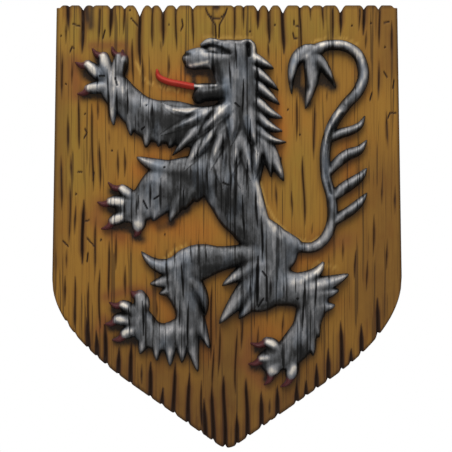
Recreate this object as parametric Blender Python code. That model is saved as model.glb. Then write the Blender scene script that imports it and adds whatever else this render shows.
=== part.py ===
"""A heater shield cast in one piece as a wall plaque.

Rough upright boards make the field, and a lion rampant stands on them in high relief.
Boards and lion are one casting, so the model is one solid with a flat back.
+X is the viewer's right, +Z is up and the front faces -Y. The origin is the centre of the
flat back, at mid height and mid width, where a wall would hold the plaque.
"""
import math

import bmesh
import bpy
import numpy as np

# Overall sizes in metres.
SHIELD_HEIGHT = 0.600
SHIELD_WIDTH = 0.474
BOARD_THICKNESS = 0.020
LION_HEIGHT = 0.474
LION_RELIEF = 0.020

# The outline: leaning sides, round shoulders and straight flanks down to the point.
SIDE_LEAN = 0.006
SHOULDER_HEIGHT = 0.234
FLANK_RUN = 0.133
FLANK_ANGLE = math.radians(35)
POINT_OFFSET = 0.003
LEFT_FLANK_DROP = 0.0065
RIGHT_FLANK_DROP = 0.003
POINT_ROUND = 0.0045
CORNER_DROP = 0.004
EDGE_ROUND = 0.0025

# The splits between the boards.
SPLIT_WIDTH = 0.0042
SPLIT_DEPTH = 0.0022
SPLIT_FADE = 0.012

# Where the lion's middle stands from the shield's middle, and how it roots in the boards.
LION_RAISE = 0.0196
LION_SHIFT = -0.0095
RIM_MARGIN = 0.009
LION_ROOT = 0.004
ROOT_FLOOR = 0.003

# How fine the mesh is.
ROW_STEP = 0.020
COLUMN_STEP = 0.014
DEEP_NOTCH = 4
LION_CELL = 0.0026
BOARD_SHARE = 0.2
LION_SHARE = 0.145

# The lion is drawn on a grid of its own, where its height is GRID_HEIGHT units.
GRID_HEIGHT = 350
GRID_LEFT, GRID_RIGHT, GRID_LOW, GRID_TOP = -132, 172, 4, 372
WALL_SLOPE = 3.2
LION_UNIT = LION_HEIGHT / GRID_HEIGHT

# The boards' splits, in 350ths of the width from the centreline and 443rds of the height.
BOARD_GRID_WIDTH = 350
BOARD_GRID_HEIGHT = 443
BOARD_X = SHIELD_WIDTH / BOARD_GRID_WIDTH
BOARD_Z = SHIELD_HEIGHT / BOARD_GRID_HEIGHT
POINT_Z = -SHIELD_HEIGHT / 2
TOP_Z = SHIELD_HEIGHT / 2
HALF_WIDTH = SHIELD_WIDTH / 2

# Place across, notch in the edge, length down from the top edge.
TOP_SPLITS = [
    (-159, 2, 38), (-144, 5, 50), (-116, 4, 34), (-102.5, 4, 30), (-87.5, 11, 60), (-75.5, 3, 44),
    (-64, 8, 44), (-50.5, 4, 46), (-34, 4, 40), (7, 2, 34), (16.6, 2, 26), (31, 6, 30), (42, 6, 55),
    (56, 8, 50), (73.5, 3, 50), (96, 2, 22), (113.5, 8, 30), (137, 4, 44), (152, 5, 44),
]
# Place across, notch in the edge, length up from the lower edge.
LOWER_SPLITS = [
    (-160, 3, 24), (-152, 2, 50), (-120, 3, 30), (-108.5, 1, 26), (-96.5, 1, 16), (-76.5, 2, 30),
    (-65, 2, 32), (-52, 3, 46), (-39, 2, 60), (-26, 3, 52), (-14, 2, 90), (-2, 3, 70), (20, 3, 50),
    (35, 2, 44), (51, 2, 28), (69.5, 2, 16), (79, 3, 18), (89, 2, 20), (101, 3, 36), (114.5, 3, 44),
    (134.5, 3, 34), (151, 4, 32),
]

# The lion's flesh: (across, up, half width, rise) along each form.
BODY = {
    "skull": [(41.5, 346, 13, 11.5), (30, 348, 12.5, 12), (14, 349, 11, 12)],
    "muzzle": [(20, 343, 12, 12), (6, 342, 11.5, 13), (-4, 341.5, 10.5, 12.5), (-9.5, 341.5, 8.5, 10.5)],
    "cheek": [(23, 338, 13, 11), (26, 326, 12, 10.5), (26, 315, 9, 9)],
    "jaw": [(26, 310, 9, 9), (14, 307, 8, 10.5), (3, 306, 8, 10.5), (-1, 303, 7, 9)],
    "neck": [(39, 345, 15, 11), (41, 325, 17, 12), (42, 300, 18, 12), (42, 280, 20, 10)],
    "mane bed": [(38, 284, 24, 6), (30, 262, 34, 6.5), (30, 244, 35, 7.5), (32, 228, 30, 9)],
    "trunk": [(30, 236, 28, 8), (30, 218, 29, 13), (35.5, 204, 27, 14), (41, 191, 25, 13.5),
              (47.5, 180, 21, 13.5), (56, 169, 18.5, 13), (68, 158, 20.5, 12.5), (76, 148, 22, 12)],
    "rump": [(80, 156, 15, 11), (94, 154.5, 8.5, 9.5)],
    "belly": [(38, 168, 6.5, 7), (46, 161, 8, 8)],
    "raised foreleg": [(8, 270, 20, 7), (-24, 277, 22, 9.5), (-44, 279, 21, 11), (-60, 287, 18, 11),
                       (-72, 298, 16, 10.5), (-82, 308, 16, 10), (-88, 317, 14, 9.5)],
    "lower foreleg": [(8, 226, 22, 11), (-15, 221, 22, 12.5), (-34, 213, 24, 12.5), (-52, 199, 17.5, 11.5),
                      (-63, 193, 16, 10.5), (-70, 192, 15, 9.5)],
    "left hind leg": [(62, 146, 15, 11), (40, 144.5, 11, 10), (18, 141, 13, 11), (0, 138, 18, 12.5),
                      (-14, 131, 18.5, 12.5), (-20, 117, 17, 12), (-15, 103, 15, 12), (-11, 88, 13.5, 12),
                      (-14, 73, 14, 11), (-32, 63.5, 14, 10.5), (-48, 66, 14, 10), (-61, 79, 14.5, 9.5)],
    "haunch": [(71, 146, 20.5, 12), (67, 129, 23.5, 13.5), (62, 114, 24, 13.5), (57, 106, 18, 10)],
    "right hind leg": [(70, 116, 22, 12), (92, 111, 17, 12.5), (108, 108, 18, 12), (112, 97, 16, 12),
                       (109, 84, 14, 11.5), (105, 70, 14, 11), (97, 56, 15.5, 11), (86, 45, 14, 10),
                       (76, 43, 13.5, 9), (72, 39, 12.5, 8)],
}
TAIL = [(86, 156, 8, 9.5), (100, 153, 5.5, 8.5), (113, 153, 5.4, 8.5), (125, 162, 5.4, 8.5),
        (132, 179, 5.4, 8.5), (131.5, 202, 5.4, 8.5), (126, 224, 5.4, 8.5), (125.5, 250, 5.4, 8.5),
        (132, 274, 5.4, 8.5), (145, 294, 5.6, 8.5), (158, 309, 5.8, 8.5), (163.5, 326, 5.8, 8.5),
        (158, 345, 5.6, 8.5), (144, 354, 5.4, 8.5), (127, 354.5, 5.4, 8.5), (114, 349, 6, 8.5),
        (107, 342, 6, 9)]
TAIL_STRANDS = [
    [(128, 260, 4, 7.5), (139, 266, 5, 8), (152, 270, 4.6, 8), (160, 275, 3.4, 7), (165, 284, 0.8, 5)],
    [(130, 228, 3.5, 7.5), (138, 238, 5.6, 8), (148, 245.5, 5.8, 8), (159, 250, 4.6, 7), (167, 260, 0.8, 5)],
    [(132, 201, 3.5, 7.5), (140, 209, 5.8, 8), (150, 216, 6, 8), (160, 223, 4.6, 7), (167, 232, 0.8, 5)],
    [(133, 177, 3.5, 7.5), (141, 183.5, 5.2, 8), (151, 190, 5.2, 8), (160, 198, 4.2, 7), (167, 207, 0.8, 5)],
]
TONGUE = [(-43, 330, 1.4, 5), (-41, 323, 3, 6), (-32, 318.5, 3.4, 6.5), (-20, 316, 3.4, 7),
          (-7, 313.5, 3.4, 7), (6, 312, 2.5, 6)]
FACE_RIDGES = [
    [(3, 354, 3.5, 13), (10, 357, 5.2, 15), (18, 357, 4, 13.5)],
    [(4, 346, 2.6, 13), (12, 343, 3, 13.8), (26, 342, 3, 12.8)],
    [(46, 360, 2.2, 13.5), (51.5, 357, 2.8, 14.5), (53.8, 348, 3, 14), (53.5, 340, 2.4, 13)],
    [(-13, 334.5, 2.2, 9.5), (-4, 332.6, 2.6, 12), (6, 335.5, 2.2, 12)],
    [(-7, 314, 1.8, 9.5), (4, 315.2, 2, 11.5), (16, 315, 1.8, 11.5)],
]
# Hollows of the eye socket, the nostril and the ear: (across, up, half width), then depth.
FACE_HOLLOWS = [
    ([(2, 353, 2.4), (11, 350.5, 4), (21, 348, 3.6), (30, 345, 1.5)], 4),
    ([(-15, 345.5, 2), (-12, 344, 2.2)], 3.5),
    ([(47, 356, 1.8), (47.5, 350, 3), (48.5, 342, 1.8)], 5),
]
EYE = [(10.5, 350.3, 2.8, 12.6), (13.5, 349.8, 2.8, 12.6)]

# Locks and tufts: root, bend, tip, half width, rise.
LEG_TUFTS = [
    # raised foreleg
    ((-84, 308), (-87, 291), (-86, 274), 7.5, 10), ((-68, 292), (-69, 280), (-69, 264), 10, 10.5),
    ((-50, 280), (-52, 267), (-54, 252), 11, 11), ((-38, 276), (-38, 266), (-42, 253), 10, 10),
    ((-26, 268), (-28, 260), (-31, 252), 9, 9),
    # lower foreleg
    ((-18, 226), (-44, 234), (-63.5, 243), 12, 12.5), ((-44, 218), (-50, 217), (-58, 212), 10, 11),
    ((-2, 216), (-10, 204), (-15, 190), 11, 11.5), ((-18, 206), (-24, 194), (-30, 178), 12, 11.5),
    ((-36, 198), (-42, 189), (-47, 179), 10, 10.5), ((-4, 212), (-2, 205), (-4, 198), 8, 10),
    # left hind leg
    ((-6, 140), (-36, 133), (-59, 149), 13, 12), ((-18, 124), (-34, 119), (-50, 116), 11, 11),
    ((-20, 114), (-30, 110), (-41, 106), 9, 10.5), ((-8, 118), (3, 102), (5, 84), 9, 12),
    ((-10, 96), (0, 74), (10, 51), 11, 11.5), ((-10, 76), (-7, 52), (-2, 28), 10, 11.5),
    ((-20, 70), (-18, 53), (-18, 37), 9, 11), ((-32, 66), (-30, 50), (-30, 34), 9, 11),
    ((-42, 64), (-43, 52), (-43, 39), 8, 10.5), ((-52, 68), (-56, 57), (-60, 46), 9, 10),
    # right hind leg
    ((66, 136), (44, 128), (22, 114), 13, 13.5), ((62, 124), (40, 102), (19, 76), 15, 13.5),
    ((64, 112), (50, 96), (39, 81), 12, 12.5), ((92, 116), (112, 124), (124, 139), 11, 12.5),
    ((102, 110), (128, 117), (149, 126), 12, 12.5), ((104, 106), (124, 107), (139, 110), 11, 11.5),
    ((104, 100), (121, 94), (135, 95), 11, 11.5), ((111, 88), (116, 76), (119, 62), 7, 9.5),
    ((106, 68), (111, 57), (113, 44), 8, 9.5),
]
MANE_LOCKS = [
    # nape, from the crown down
    ((48, 345), (62, 337), (74, 331), 6, 11), ((50, 333), (65, 321), (79, 309), 6, 11.5),
    ((52, 319), (67, 306), (80, 295), 6, 11.5), ((52, 303), (67, 289), (83, 282), 6.5, 11.5),
    ((52, 291), (67, 275), (83, 269), 6.5, 11.5), ((52, 278), (67, 262), (87, 258), 6.5, 11.5),
    ((56, 264), (67, 246), (71, 222), 8, 12), ((64, 260), (75, 238), (84, 218), 7.5, 10.5),
    # chest, from the lowest row up
    ((4, 262), (-4, 248), (-15, 229), 7.5, 11), ((20, 256), (19, 236), (23, 211), 7, 12),
    ((38, 250), (38, 230), (42, 210), 7, 11.5), ((6, 280), (-9, 264), (-28, 244), 7.5, 12.5),
    ((24, 282), (12, 265), (-4, 241), 7.5, 13), ((28, 276), (18, 254), (10, 229), 7.5, 13.5),
    ((42, 270), (37, 248), (31, 224), 8, 13.5), ((44, 264), (48, 240), (52, 217), 7, 13),
    ((58, 258), (57, 240), (54, 220), 6.5, 13), ((32, 298), (33, 276), (31, 254), 8.5, 14),
    ((47, 298), (52, 272), (57, 245), 8.5, 14), ((14, 291), (-16, 287), (-38, 297), 6, 12.5),
    ((20, 292), (-8, 279), (-40, 264), 7, 13.5), ((32, 296), (14, 280), (-2, 262), 7.5, 14),
    # brush of the tail
    ((120, 350), (96, 340), (92, 304), 7.5, 10.5), ((111, 348), (112, 322), (105, 290), 9, 11.5),
    ((112, 344), (124, 333), (136, 311), 6.5, 10),
]
# Toes: palm, knuckle, root of the claw, tip of the claw, half width.
TOES = [
    # raised paw
    ((-94, 318), (-105, 329), (-112, 335), (-125, 338), 6.6),
    ((-92, 320), (-95, 335), (-96, 343), (-108, 352), 6.8),
    ((-86, 320), (-82, 335), (-81, 343), (-88, 354), 6),
    ((-79, 326), (-76, 336), (-75, 342), (-77, 351), 4.6),
    ((-90, 314), (-103, 312.5), (-111, 311), (-123, 306), 6.4),
    # lower forepaw
    ((-62, 198), (-73, 207), (-78, 211), (-92, 218), 6.2),
    ((-68, 196), (-82, 198), (-89, 198), (-103, 198), 6.6),
    ((-70, 188), (-81, 182), (-87, 179), (-99, 171), 6.4),
    ((-60, 188), (-61, 178), (-62, 173), (-66, 163), 7.5),
    # left hind paw
    ((-60, 84), (-58, 97), (-60, 104), (-69, 109), 8),
    ((-62, 84), (-72, 92), (-77, 95), (-91, 98), 6.6),
    ((-64, 79), (-77, 81), (-83, 81), (-96, 76), 6.8),
    ((-60, 74), (-70, 69), (-75, 66), (-88, 60), 7),
    # right hind paw
    ((82, 46), (73, 55), (67, 58), (50, 57), 6.6),
    ((78, 42), (67, 43), (62, 42), (48, 36), 6.6),
    ((80, 38), (74, 32), (71, 28), (64, 15), 7),
    ((92, 42), (92, 31), (91, 25), (80, 13), 7),
]


def smooth_curve(points, step=1.5):
    """A smooth curve through the points, with its half width and rise."""
    knots = np.array(points, float)
    ends = np.vstack([2 * knots[0] - knots[1], knots, 2 * knots[-1] - knots[-2]])
    path = []
    for before, start, end, after in zip(ends[:-3], ends[1:-2], ends[2:-1], ends[3:]):
        steps = max(2, int(np.hypot(*(end - start)[:2]) / step) + 1)
        for t in np.arange(steps) / steps:
            path.append(0.5 * (2 * start + (end - before) * t
                               + (2 * before - 5 * start + 4 * end - after) * t ** 2
                               + (3 * start - before - 3 * end + after) * t ** 3))
    path.append(knots[-1])
    path = np.array(path)
    path[:, 2:] = np.maximum(path[:, 2:], 0.3)
    return path


def bent_path(root, bend, tip, half_width, rise, steps=14):
    """Places, half widths and rises from root to tip, passing through the bend."""
    root, bend, tip = (np.array(place, float) for place in (root, bend, tip))
    pull = 2 * bend - 0.5 * (root + tip)
    path = []
    for t in np.linspace(0, 1, steps):
        place = root * (1 - t) ** 2 + pull * 2 * t * (1 - t) + tip * t ** 2
        path.append((*place, half_width(t), rise(t)))
    return np.array(path)


def lock(root, bend, tip, width, height):
    """A leaf-shaped lock of the mane: narrow root, full belly, fine tip."""
    return bent_path(root, bend, tip,
                     lambda t: width * min(1, 0.6 + 1.6 * t) * (1 - t ** 2.2) + 0.5,
                     lambda t: height * (0.62 + 1.36 * t - 1.23 * t ** 2))


def tuft(root, bend, tip, width, height):
    """A tuft of a leg, which grows out of the flesh: broad root, fine tip."""
    return bent_path(root, bend, tip,
                     lambda t: width * (1 - t) ** 0.75 + 0.5,
                     lambda t: height * (1 - 0.42 * t ** 2))


def toe_and_claw(palm, knuckle, nail, tip, width):
    """The fat toe and the thin hooked claw in front of it."""
    toe = [(*palm, 0.9 * width, 8), (*knuckle, width, 10), (*nail, 0.78 * width, 8.5)]
    nail, tip = np.array(nail, float), np.array(tip, float)
    run = tip - nail
    bend = (nail + tip) / 2 + 0.16 * np.array([-run[1], run[0]])
    claw = [(*nail, 0.6 * width, 6), (*bend, 0.45 * width, 6), (*tip, 0.7, 4)]
    return smooth_curve(toe), smooth_curve(claw)


def nearest(path, u, v):
    """Distance to a tapering path, and the half width and rise there."""
    gap = np.full(u.shape, 1e9)
    distance, width, rise = np.zeros(u.shape), np.ones(u.shape), np.zeros(u.shape)
    for start, end in zip(path[:-1], path[1:]):
        run = end[:2] - start[:2]
        along = ((u - start[0]) * run[0] + (v - start[1]) * run[1]) / max(run @ run, 1e-9)
        along = np.clip(along, 0, 1)
        away = np.hypot(u - start[0] - along * run[0], v - start[1] - along * run[1])
        half = start[2] + along * (end[2] - start[2])
        closer = away - half < gap
        gap = np.where(closer, away - half, gap)
        distance = np.where(closer, away, distance)
        width = np.where(closer, half, width)
        if len(start) > 3:
            rise = np.where(closer, start[3] + along * (end[3] - start[3]), rise)
    return distance, width, rise


class Relief:
    """Heights over the field, in drawing units, on a grid of places."""

    def __init__(self, u_axis, v_axis):
        self.u_axis, self.v_axis = u_axis, v_axis
        self.u, self.v = np.meshgrid(u_axis, v_axis, indexing="ij")
        self.height = np.full(self.u.shape, -60.0)

    def window(self, path, margin=14):
        """The part of the grid that a path can reach."""
        reach = path[:, 2].max() + margin
        low = path[:, :2].min(axis=0) - reach
        high = path[:, :2].max(axis=0) + reach
        return (slice(*np.searchsorted(self.u_axis, (low[0], high[0]))),
                slice(*np.searchsorted(self.v_axis, (low[1], high[1]))))

    def raise_form(self, path, shoulder, roundness, fillet):
        """A rounded form with steep sides, blended into what is there."""
        part = self.window(path)
        distance, width, rise = nearest(path, self.u[part], self.v[part])
        share = np.minimum(distance / width, 1)
        crown = rise * (shoulder + (1 - shoulder) * (1 - share ** roundness))
        form = np.minimum(crown, WALL_SLOPE * (width - distance))
        there = self.height[part]
        joined = np.maximum(there, form)
        if fillet:
            joined += np.maximum(fillet - np.abs(there - form), 0) ** 2 / (4 * fillet)
        self.height[part] = joined

    def sink(self, path, depth):
        """A hollow with a round floor."""
        part = self.window(path)
        distance, width, _ = nearest(path, self.u[part], self.v[part])
        self.height[part] -= depth * np.clip(1.2 - (distance / width) ** 2, 0, 1)


def model_lion(relief):
    """Raise the lion: flesh first, then tail, toes, tufts, mane and face."""
    for points in BODY.values():
        relief.raise_form(smooth_curve(points), 0.3, 2.1, 3)
    relief.raise_form(smooth_curve(TAIL), 0.35, 2, 1.5)
    for points in TAIL_STRANDS:
        relief.raise_form(smooth_curve(points), 0.35, 1.8, 1)
    for toe_values in TOES:
        toe, claw = toe_and_claw(*toe_values)
        relief.raise_form(toe, 0.35, 2, 0.8)
        relief.raise_form(claw, 0.4, 1.8, 0)
    for tuft_values in LEG_TUFTS:
        relief.raise_form(tuft(*tuft_values), 0.35, 1.6, 2)
    for lock_values in MANE_LOCKS:
        relief.raise_form(lock(*lock_values), 0.55, 1.4, 0.4)
    relief.raise_form(smooth_curve(TONGUE), 0.5, 2, 0)
    for points in FACE_RIDGES:
        relief.raise_form(smooth_curve(points), 0.5, 2, 1)
    for points, depth in FACE_HOLLOWS:
        relief.sink(smooth_curve(points), depth)
    relief.raise_form(smooth_curve(EYE), 0.6, 2, 0)


def notch_reach(depth):
    """Half the width that a notch opens to, in board units."""
    return 3 + 0.4 * depth


def notches(x, splits):
    """How far the edge is cut back at x, in board units."""
    cut = np.zeros_like(x)
    for place, depth, _ in splits:
        share = np.clip(np.abs(x / BOARD_X - place) / notch_reach(depth), 0, 1)
        cut = np.maximum(cut, depth * (1 - share) ** 2)
    return cut


def side_x(z):
    """Half the width at a height: the sides lean in towards the top."""
    climb = np.clip((z - POINT_Z - SHOULDER_HEIGHT) / (SHIELD_HEIGHT - SHOULDER_HEIGHT), 0, 1)
    return HALF_WIDTH - SIDE_LEAN * climb


def lower_edge(x):
    """Height of the lower edge: straight flanks, round shoulders and a blunt point."""
    flank_rise = math.tan(FLANK_ANGLE)
    edge = np.empty_like(x)
    for side, drop in ((-1, LEFT_FLANK_DROP), (1, RIGHT_FLANK_DROP)):
        half = HALF_WIDTH - side * POINT_OFFSET
        bend = np.linspace(0, 1, 41)
        run = FLANK_RUN * (1 - bend) ** 2 + half * 2 * bend * (1 - bend) + half * bend ** 2
        climb = (FLANK_RUN * flank_rise * (1 - bend) ** 2 + half * flank_rise * 2 * bend * (1 - bend)
                 + SHOULDER_HEIGHT * bend ** 2)
        away = side * (x - POINT_OFFSET)
        here = away >= 0
        edge[here] = np.interp(away[here], np.append(0, run), np.append(0, climb)) - drop
    blunt = np.maximum(edge + POINT_ROUND, 0) ** 2 / (4 * POINT_ROUND)
    edge = np.where(edge < POINT_ROUND, blunt, edge)
    return POINT_Z + edge + BOARD_Z * notches(x, LOWER_SPLITS)


def top_edge(x):
    """Height of the top edge: round board ends with notches, and dropped corners."""
    corner = np.clip((np.abs(x) / (HALF_WIDTH - SIDE_LEAN) - 0.97) / 0.03, 0, 1)
    return TOP_Z - BOARD_Z * notches(x, TOP_SPLITS) - CORNER_DROP * corner ** 2


def split_depth(x, z):
    """Depth of the splits, which fade out where they end on the boards."""
    depth = np.zeros_like(x)
    for splits, edge, inward in ((TOP_SPLITS, top_edge(x), -1), (LOWER_SPLITS, lower_edge(x), 1)):
        along = inward * (z - edge)
        for place, _, length in splits:
            across = np.clip(1 - np.abs(x - place * BOARD_X) / (SPLIT_WIDTH / 2), 0, 1)
            fade = np.clip((length * BOARD_Z - along) / SPLIT_FADE, 0, 1)
            depth = np.maximum(depth, SPLIT_DEPTH * across * fade)
    return depth


def edge_distance(x, z):
    """Distance from the outline, inwards."""
    below = (z - lower_edge(x)) * math.cos(FLANK_ANGLE)
    return np.minimum.reduce([side_x(z) - np.abs(x), below, top_edge(x) - z])


def board_columns():
    """Places of the columns: at each split, at the round sides, and evenly between."""
    places = [0.0, POINT_OFFSET]
    for place, depth, _ in TOP_SPLITS + LOWER_SPLITS:
        reach = notch_reach(depth) * BOARD_X
        for share in (-1, -0.5, 0.5, 1) if depth >= DEEP_NOTCH else (-1, 1):
            places.append(place * BOARD_X + share * reach)
        for share in (-0.5, 0, 0.5):
            places.append(place * BOARD_X + share * SPLIT_WIDTH)
    for side in (-1, 1):
        for inset in (0, 0.3, 1):
            places.append(side * (HALF_WIDTH - inset * EDGE_ROUND))
        for turn in np.radians([25, 35, 45, 55, 65]):
            places.append(side * (FLANK_RUN + (HALF_WIDTH - FLANK_RUN) * math.sin(turn)))
    places = [place for place in sorted(places) if abs(place) <= HALF_WIDTH]
    columns = [places[0]]
    for place in places[1:]:
        gap = place - columns[-1]
        extra = int(gap / COLUMN_STEP)
        start = columns[-1]
        columns += [start + gap * step / (extra + 1) for step in range(1, extra + 1)]
        if gap > 0.3 * SPLIT_WIDTH:
            columns.append(place)
    columns[-1] = HALF_WIDTH
    return np.array(columns)


def finish_mesh(mesh_data, name):
    """Turn a bmesh into a mesh with its faces pointing out."""
    bmesh.ops.recalc_face_normals(mesh_data, faces=mesh_data.faces)
    mesh = bpy.data.meshes.new(name)
    mesh_data.to_mesh(mesh)
    mesh_data.free()
    return mesh


def thinned(mesh, share, collection):
    """The mesh with only the faces that its shape needs."""
    raw = bpy.data.objects.new(mesh.name + "_raw", mesh)
    collection.objects.link(raw)
    decimate = raw.modifiers.new("Thin", "DECIMATE")
    decimate.ratio = share
    depsgraph = bpy.context.evaluated_depsgraph_get()
    thin = bpy.data.meshes.new_from_object(raw.evaluated_get(depsgraph))
    bpy.data.objects.remove(raw)
    return thin


def board_front():
    """The boards' front face, fitted between the top edge and the lower edge."""
    columns = board_columns()
    inset = EDGE_ROUND * np.array([0, 0.3, 1])
    middle = int(SHIELD_HEIGHT / ROW_STEP)
    row_count = middle + 2 * len(inset)
    sheet = bmesh.new()
    bmesh.ops.create_grid(sheet, x_segments=len(columns) - 1, y_segments=row_count - 1, size=1)
    grid = np.array([vert.co[:2] for vert in sheet.verts])
    column = np.rint((grid[:, 0] + 1) / 2 * (len(columns) - 1)).astype(int)
    row = np.rint((grid[:, 1] + 1) / 2 * (row_count - 1)).astype(int)
    x = columns[column]
    low, high = lower_edge(x), top_edge(x)
    share = (row - len(inset) + 1) / (middle + 1)
    z = low + inset[-1] + (high - low - 2 * inset[-1]) * share
    for step, away in enumerate(inset[:-1]):
        z = np.where(row == step, low + away, z)
        z = np.where(row == row_count - 1 - step, high - away, z)
    outer = np.clip((np.abs(x) / HALF_WIDTH - 0.85) / 0.15, 0, 1)
    leaning_x = x - np.sign(x) * (HALF_WIDTH - side_x(z)) * outer
    away = np.clip(edge_distance(leaning_x, z), 0, EDGE_ROUND)
    rounding = EDGE_ROUND - np.sqrt(EDGE_ROUND ** 2 - (EDGE_ROUND - away) ** 2)
    y = -(BOARD_THICKNESS - rounding - split_depth(x, z))
    for vert, place in zip(sheet.verts, zip(leaning_x, y, z)):
        vert.co = place
    return finish_mesh(sheet, "board_front")


def close_to_back(front, back_y):
    """Carry the rim of an open front straight back to a flat back face."""
    solid = bmesh.new()
    solid.from_mesh(front)
    rim = [edge for edge in solid.edges if edge.is_boundary]
    walls = bmesh.ops.extrude_edge_only(solid, edges=rim)["geom"]
    for vert in (item for item in walls if isinstance(item, bmesh.types.BMVert)):
        vert.co.y = back_y
    bmesh.ops.holes_fill(solid, edges=[edge for edge in solid.edges if edge.is_boundary], sides=0)
    return finish_mesh(solid, front.name + "_solid")


def lion_front():
    """The lion's front as a sheet that dips just under the face of the boards."""
    cell = LION_CELL / LION_UNIT
    u_axis = np.linspace(GRID_LEFT, GRID_RIGHT, int((GRID_RIGHT - GRID_LEFT) / cell))
    v_axis = np.linspace(GRID_LOW, GRID_TOP, int((GRID_TOP - GRID_LOW) / cell))
    relief = Relief(u_axis, v_axis)
    model_lion(relief)
    sheet = bmesh.new()
    bmesh.ops.create_grid(sheet, x_segments=len(u_axis) - 1, y_segments=len(v_axis) - 1, size=1)
    grid = np.array([vert.co[:2] for vert in sheet.verts])
    column = np.rint((grid[:, 0] + 1) / 2 * (len(u_axis) - 1)).astype(int)
    row = np.rint((grid[:, 1] + 1) / 2 * (len(v_axis) - 1)).astype(int)
    x = LION_SHIFT + LION_UNIT * (u_axis[column] - (GRID_LEFT + GRID_RIGHT) / 2)
    z = LION_RAISE + LION_UNIT * (v_axis[row] - (GRID_LOW + GRID_TOP) / 2)
    rise = LION_RELIEF * relief.height[column, row] / relief.height.max()
    rise = np.minimum(rise, WALL_SLOPE * (edge_distance(x, z) - RIM_MARGIN))
    rise = np.maximum(rise, -LION_ROOT)
    for vert, place in zip(sheet.verts, zip(x, -(BOARD_THICKNESS + rise), z)):
        vert.co = place
    sunk = [face for face in sheet.faces
            if all(-vert.co.y < BOARD_THICKNESS - 0.99 * LION_ROOT for vert in face.verts)]
    bmesh.ops.delete(sheet, geom=sunk, context="FACES")
    return finish_mesh(sheet, "lion_front")


def free_of_pinches(sheet):
    """Trim the sunk edge where two stretches of the sheet meet in one corner only."""
    pinched = True
    while pinched:
        pinched = [vert for vert in sheet.verts
                   if sum(edge.is_boundary for edge in vert.link_edges) > 2]
        hanging = {face for vert in pinched for face in vert.link_faces}
        bmesh.ops.delete(sheet, geom=list(hanging), context="FACES")


def lion_solid(front):
    """The lion's front with a floor inside the boards."""
    solid = bmesh.new()
    solid.from_mesh(front)
    free_of_pinches(solid)
    bmesh.ops.recalc_face_normals(solid, faces=solid.faces)
    grown = bmesh.ops.extrude_face_region(solid, geom=solid.faces[:], use_keep_orig=True)["geom"]
    for vert in (item for item in grown if isinstance(item, bmesh.types.BMVert)):
        vert.co.y = -(BOARD_THICKNESS - LION_ROOT - ROOT_FLOOR)
    return finish_mesh(solid, "lion")


def painted_resin():
    """The field's ochre paint over resin."""
    material = bpy.data.materials.new("painted_resin")
    material.use_nodes = True
    shader = material.node_tree.nodes["Principled BSDF"]
    shader.inputs["Base Color"].default_value = (0.28, 0.16, 0.035, 1)
    shader.inputs["Roughness"].default_value = 0.5
    shader.inputs["Metallic"].default_value = 0.0
    return material


for old in list(bpy.data.objects):
    bpy.data.objects.remove(old)

shield_parts = bpy.data.collections.new("heater_shield")
cutters = bpy.data.collections.new("joined_forms")
bpy.context.scene.collection.children.link(shield_parts)
bpy.context.scene.collection.children.link(cutters)

boards = close_to_back(thinned(board_front(), BOARD_SHARE, cutters), 0)
shield = bpy.data.objects.new("shield", boards)
shield.data.materials.append(painted_resin())
shield_parts.objects.link(shield)

lion = bpy.data.objects.new("lion_form", lion_solid(thinned(lion_front(), LION_SHARE, cutters)))
lion.hide_render = True
lion.display_type = "WIRE"
cutters.objects.link(lion)

join = shield.modifiers.new("Lion", "BOOLEAN")
join.operation = "UNION"
join.object = lion
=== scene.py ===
import math

import bmesh
import bpy
import numpy as np
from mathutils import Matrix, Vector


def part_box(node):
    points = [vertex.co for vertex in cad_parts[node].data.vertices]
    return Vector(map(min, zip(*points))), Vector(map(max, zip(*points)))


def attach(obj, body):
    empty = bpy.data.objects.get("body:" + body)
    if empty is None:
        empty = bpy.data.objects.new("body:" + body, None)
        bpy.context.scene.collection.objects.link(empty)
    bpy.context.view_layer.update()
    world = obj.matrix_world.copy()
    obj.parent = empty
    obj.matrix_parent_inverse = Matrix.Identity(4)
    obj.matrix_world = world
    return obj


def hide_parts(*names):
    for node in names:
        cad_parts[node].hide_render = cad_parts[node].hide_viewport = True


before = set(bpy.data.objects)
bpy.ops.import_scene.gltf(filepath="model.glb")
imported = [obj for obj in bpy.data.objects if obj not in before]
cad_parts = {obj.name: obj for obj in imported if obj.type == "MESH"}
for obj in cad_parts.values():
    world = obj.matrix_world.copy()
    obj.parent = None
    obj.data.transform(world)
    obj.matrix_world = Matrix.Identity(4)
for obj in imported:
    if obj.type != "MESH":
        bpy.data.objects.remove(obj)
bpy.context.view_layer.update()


# The camera looks straight at the plaque, as the photograph does. The photograph's pixels give
# every place on the plaque, so their size in metres comes from the casting's height, and the
# plaque's middle stands at one of them.
low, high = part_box("shield")
SHIELD_HEIGHT = high.z - low.z
HALF_WIDTH = (high.x - low.x) / 2
PHOTO_WIDTH = 452
SHIELD_IN_PHOTO = 443
PIXEL = SHIELD_HEIGHT / SHIELD_IN_PHOTO
MIDDLE_X, MIDDLE_Y = 227, 226.5
BOARD_THICKNESS = 0.020
LENS = 100

camera_data = bpy.data.cameras.new("camera")
camera_data.lens = LENS
camera = bpy.data.objects.new("camera", camera_data)
bpy.context.scene.collection.objects.link(camera)
stand_off = PHOTO_WIDTH * PIXEL * LENS / camera_data.sensor_width
camera.location = ((PHOTO_WIDTH / 2 - MIDDLE_X) * PIXEL, -BOARD_THICKNESS - stand_off,
                   (MIDDLE_Y - PHOTO_WIDTH / 2) * PIXEL)
camera.rotation_euler = (math.radians(90), 0, 0)
bpy.context.scene.camera = camera


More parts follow.
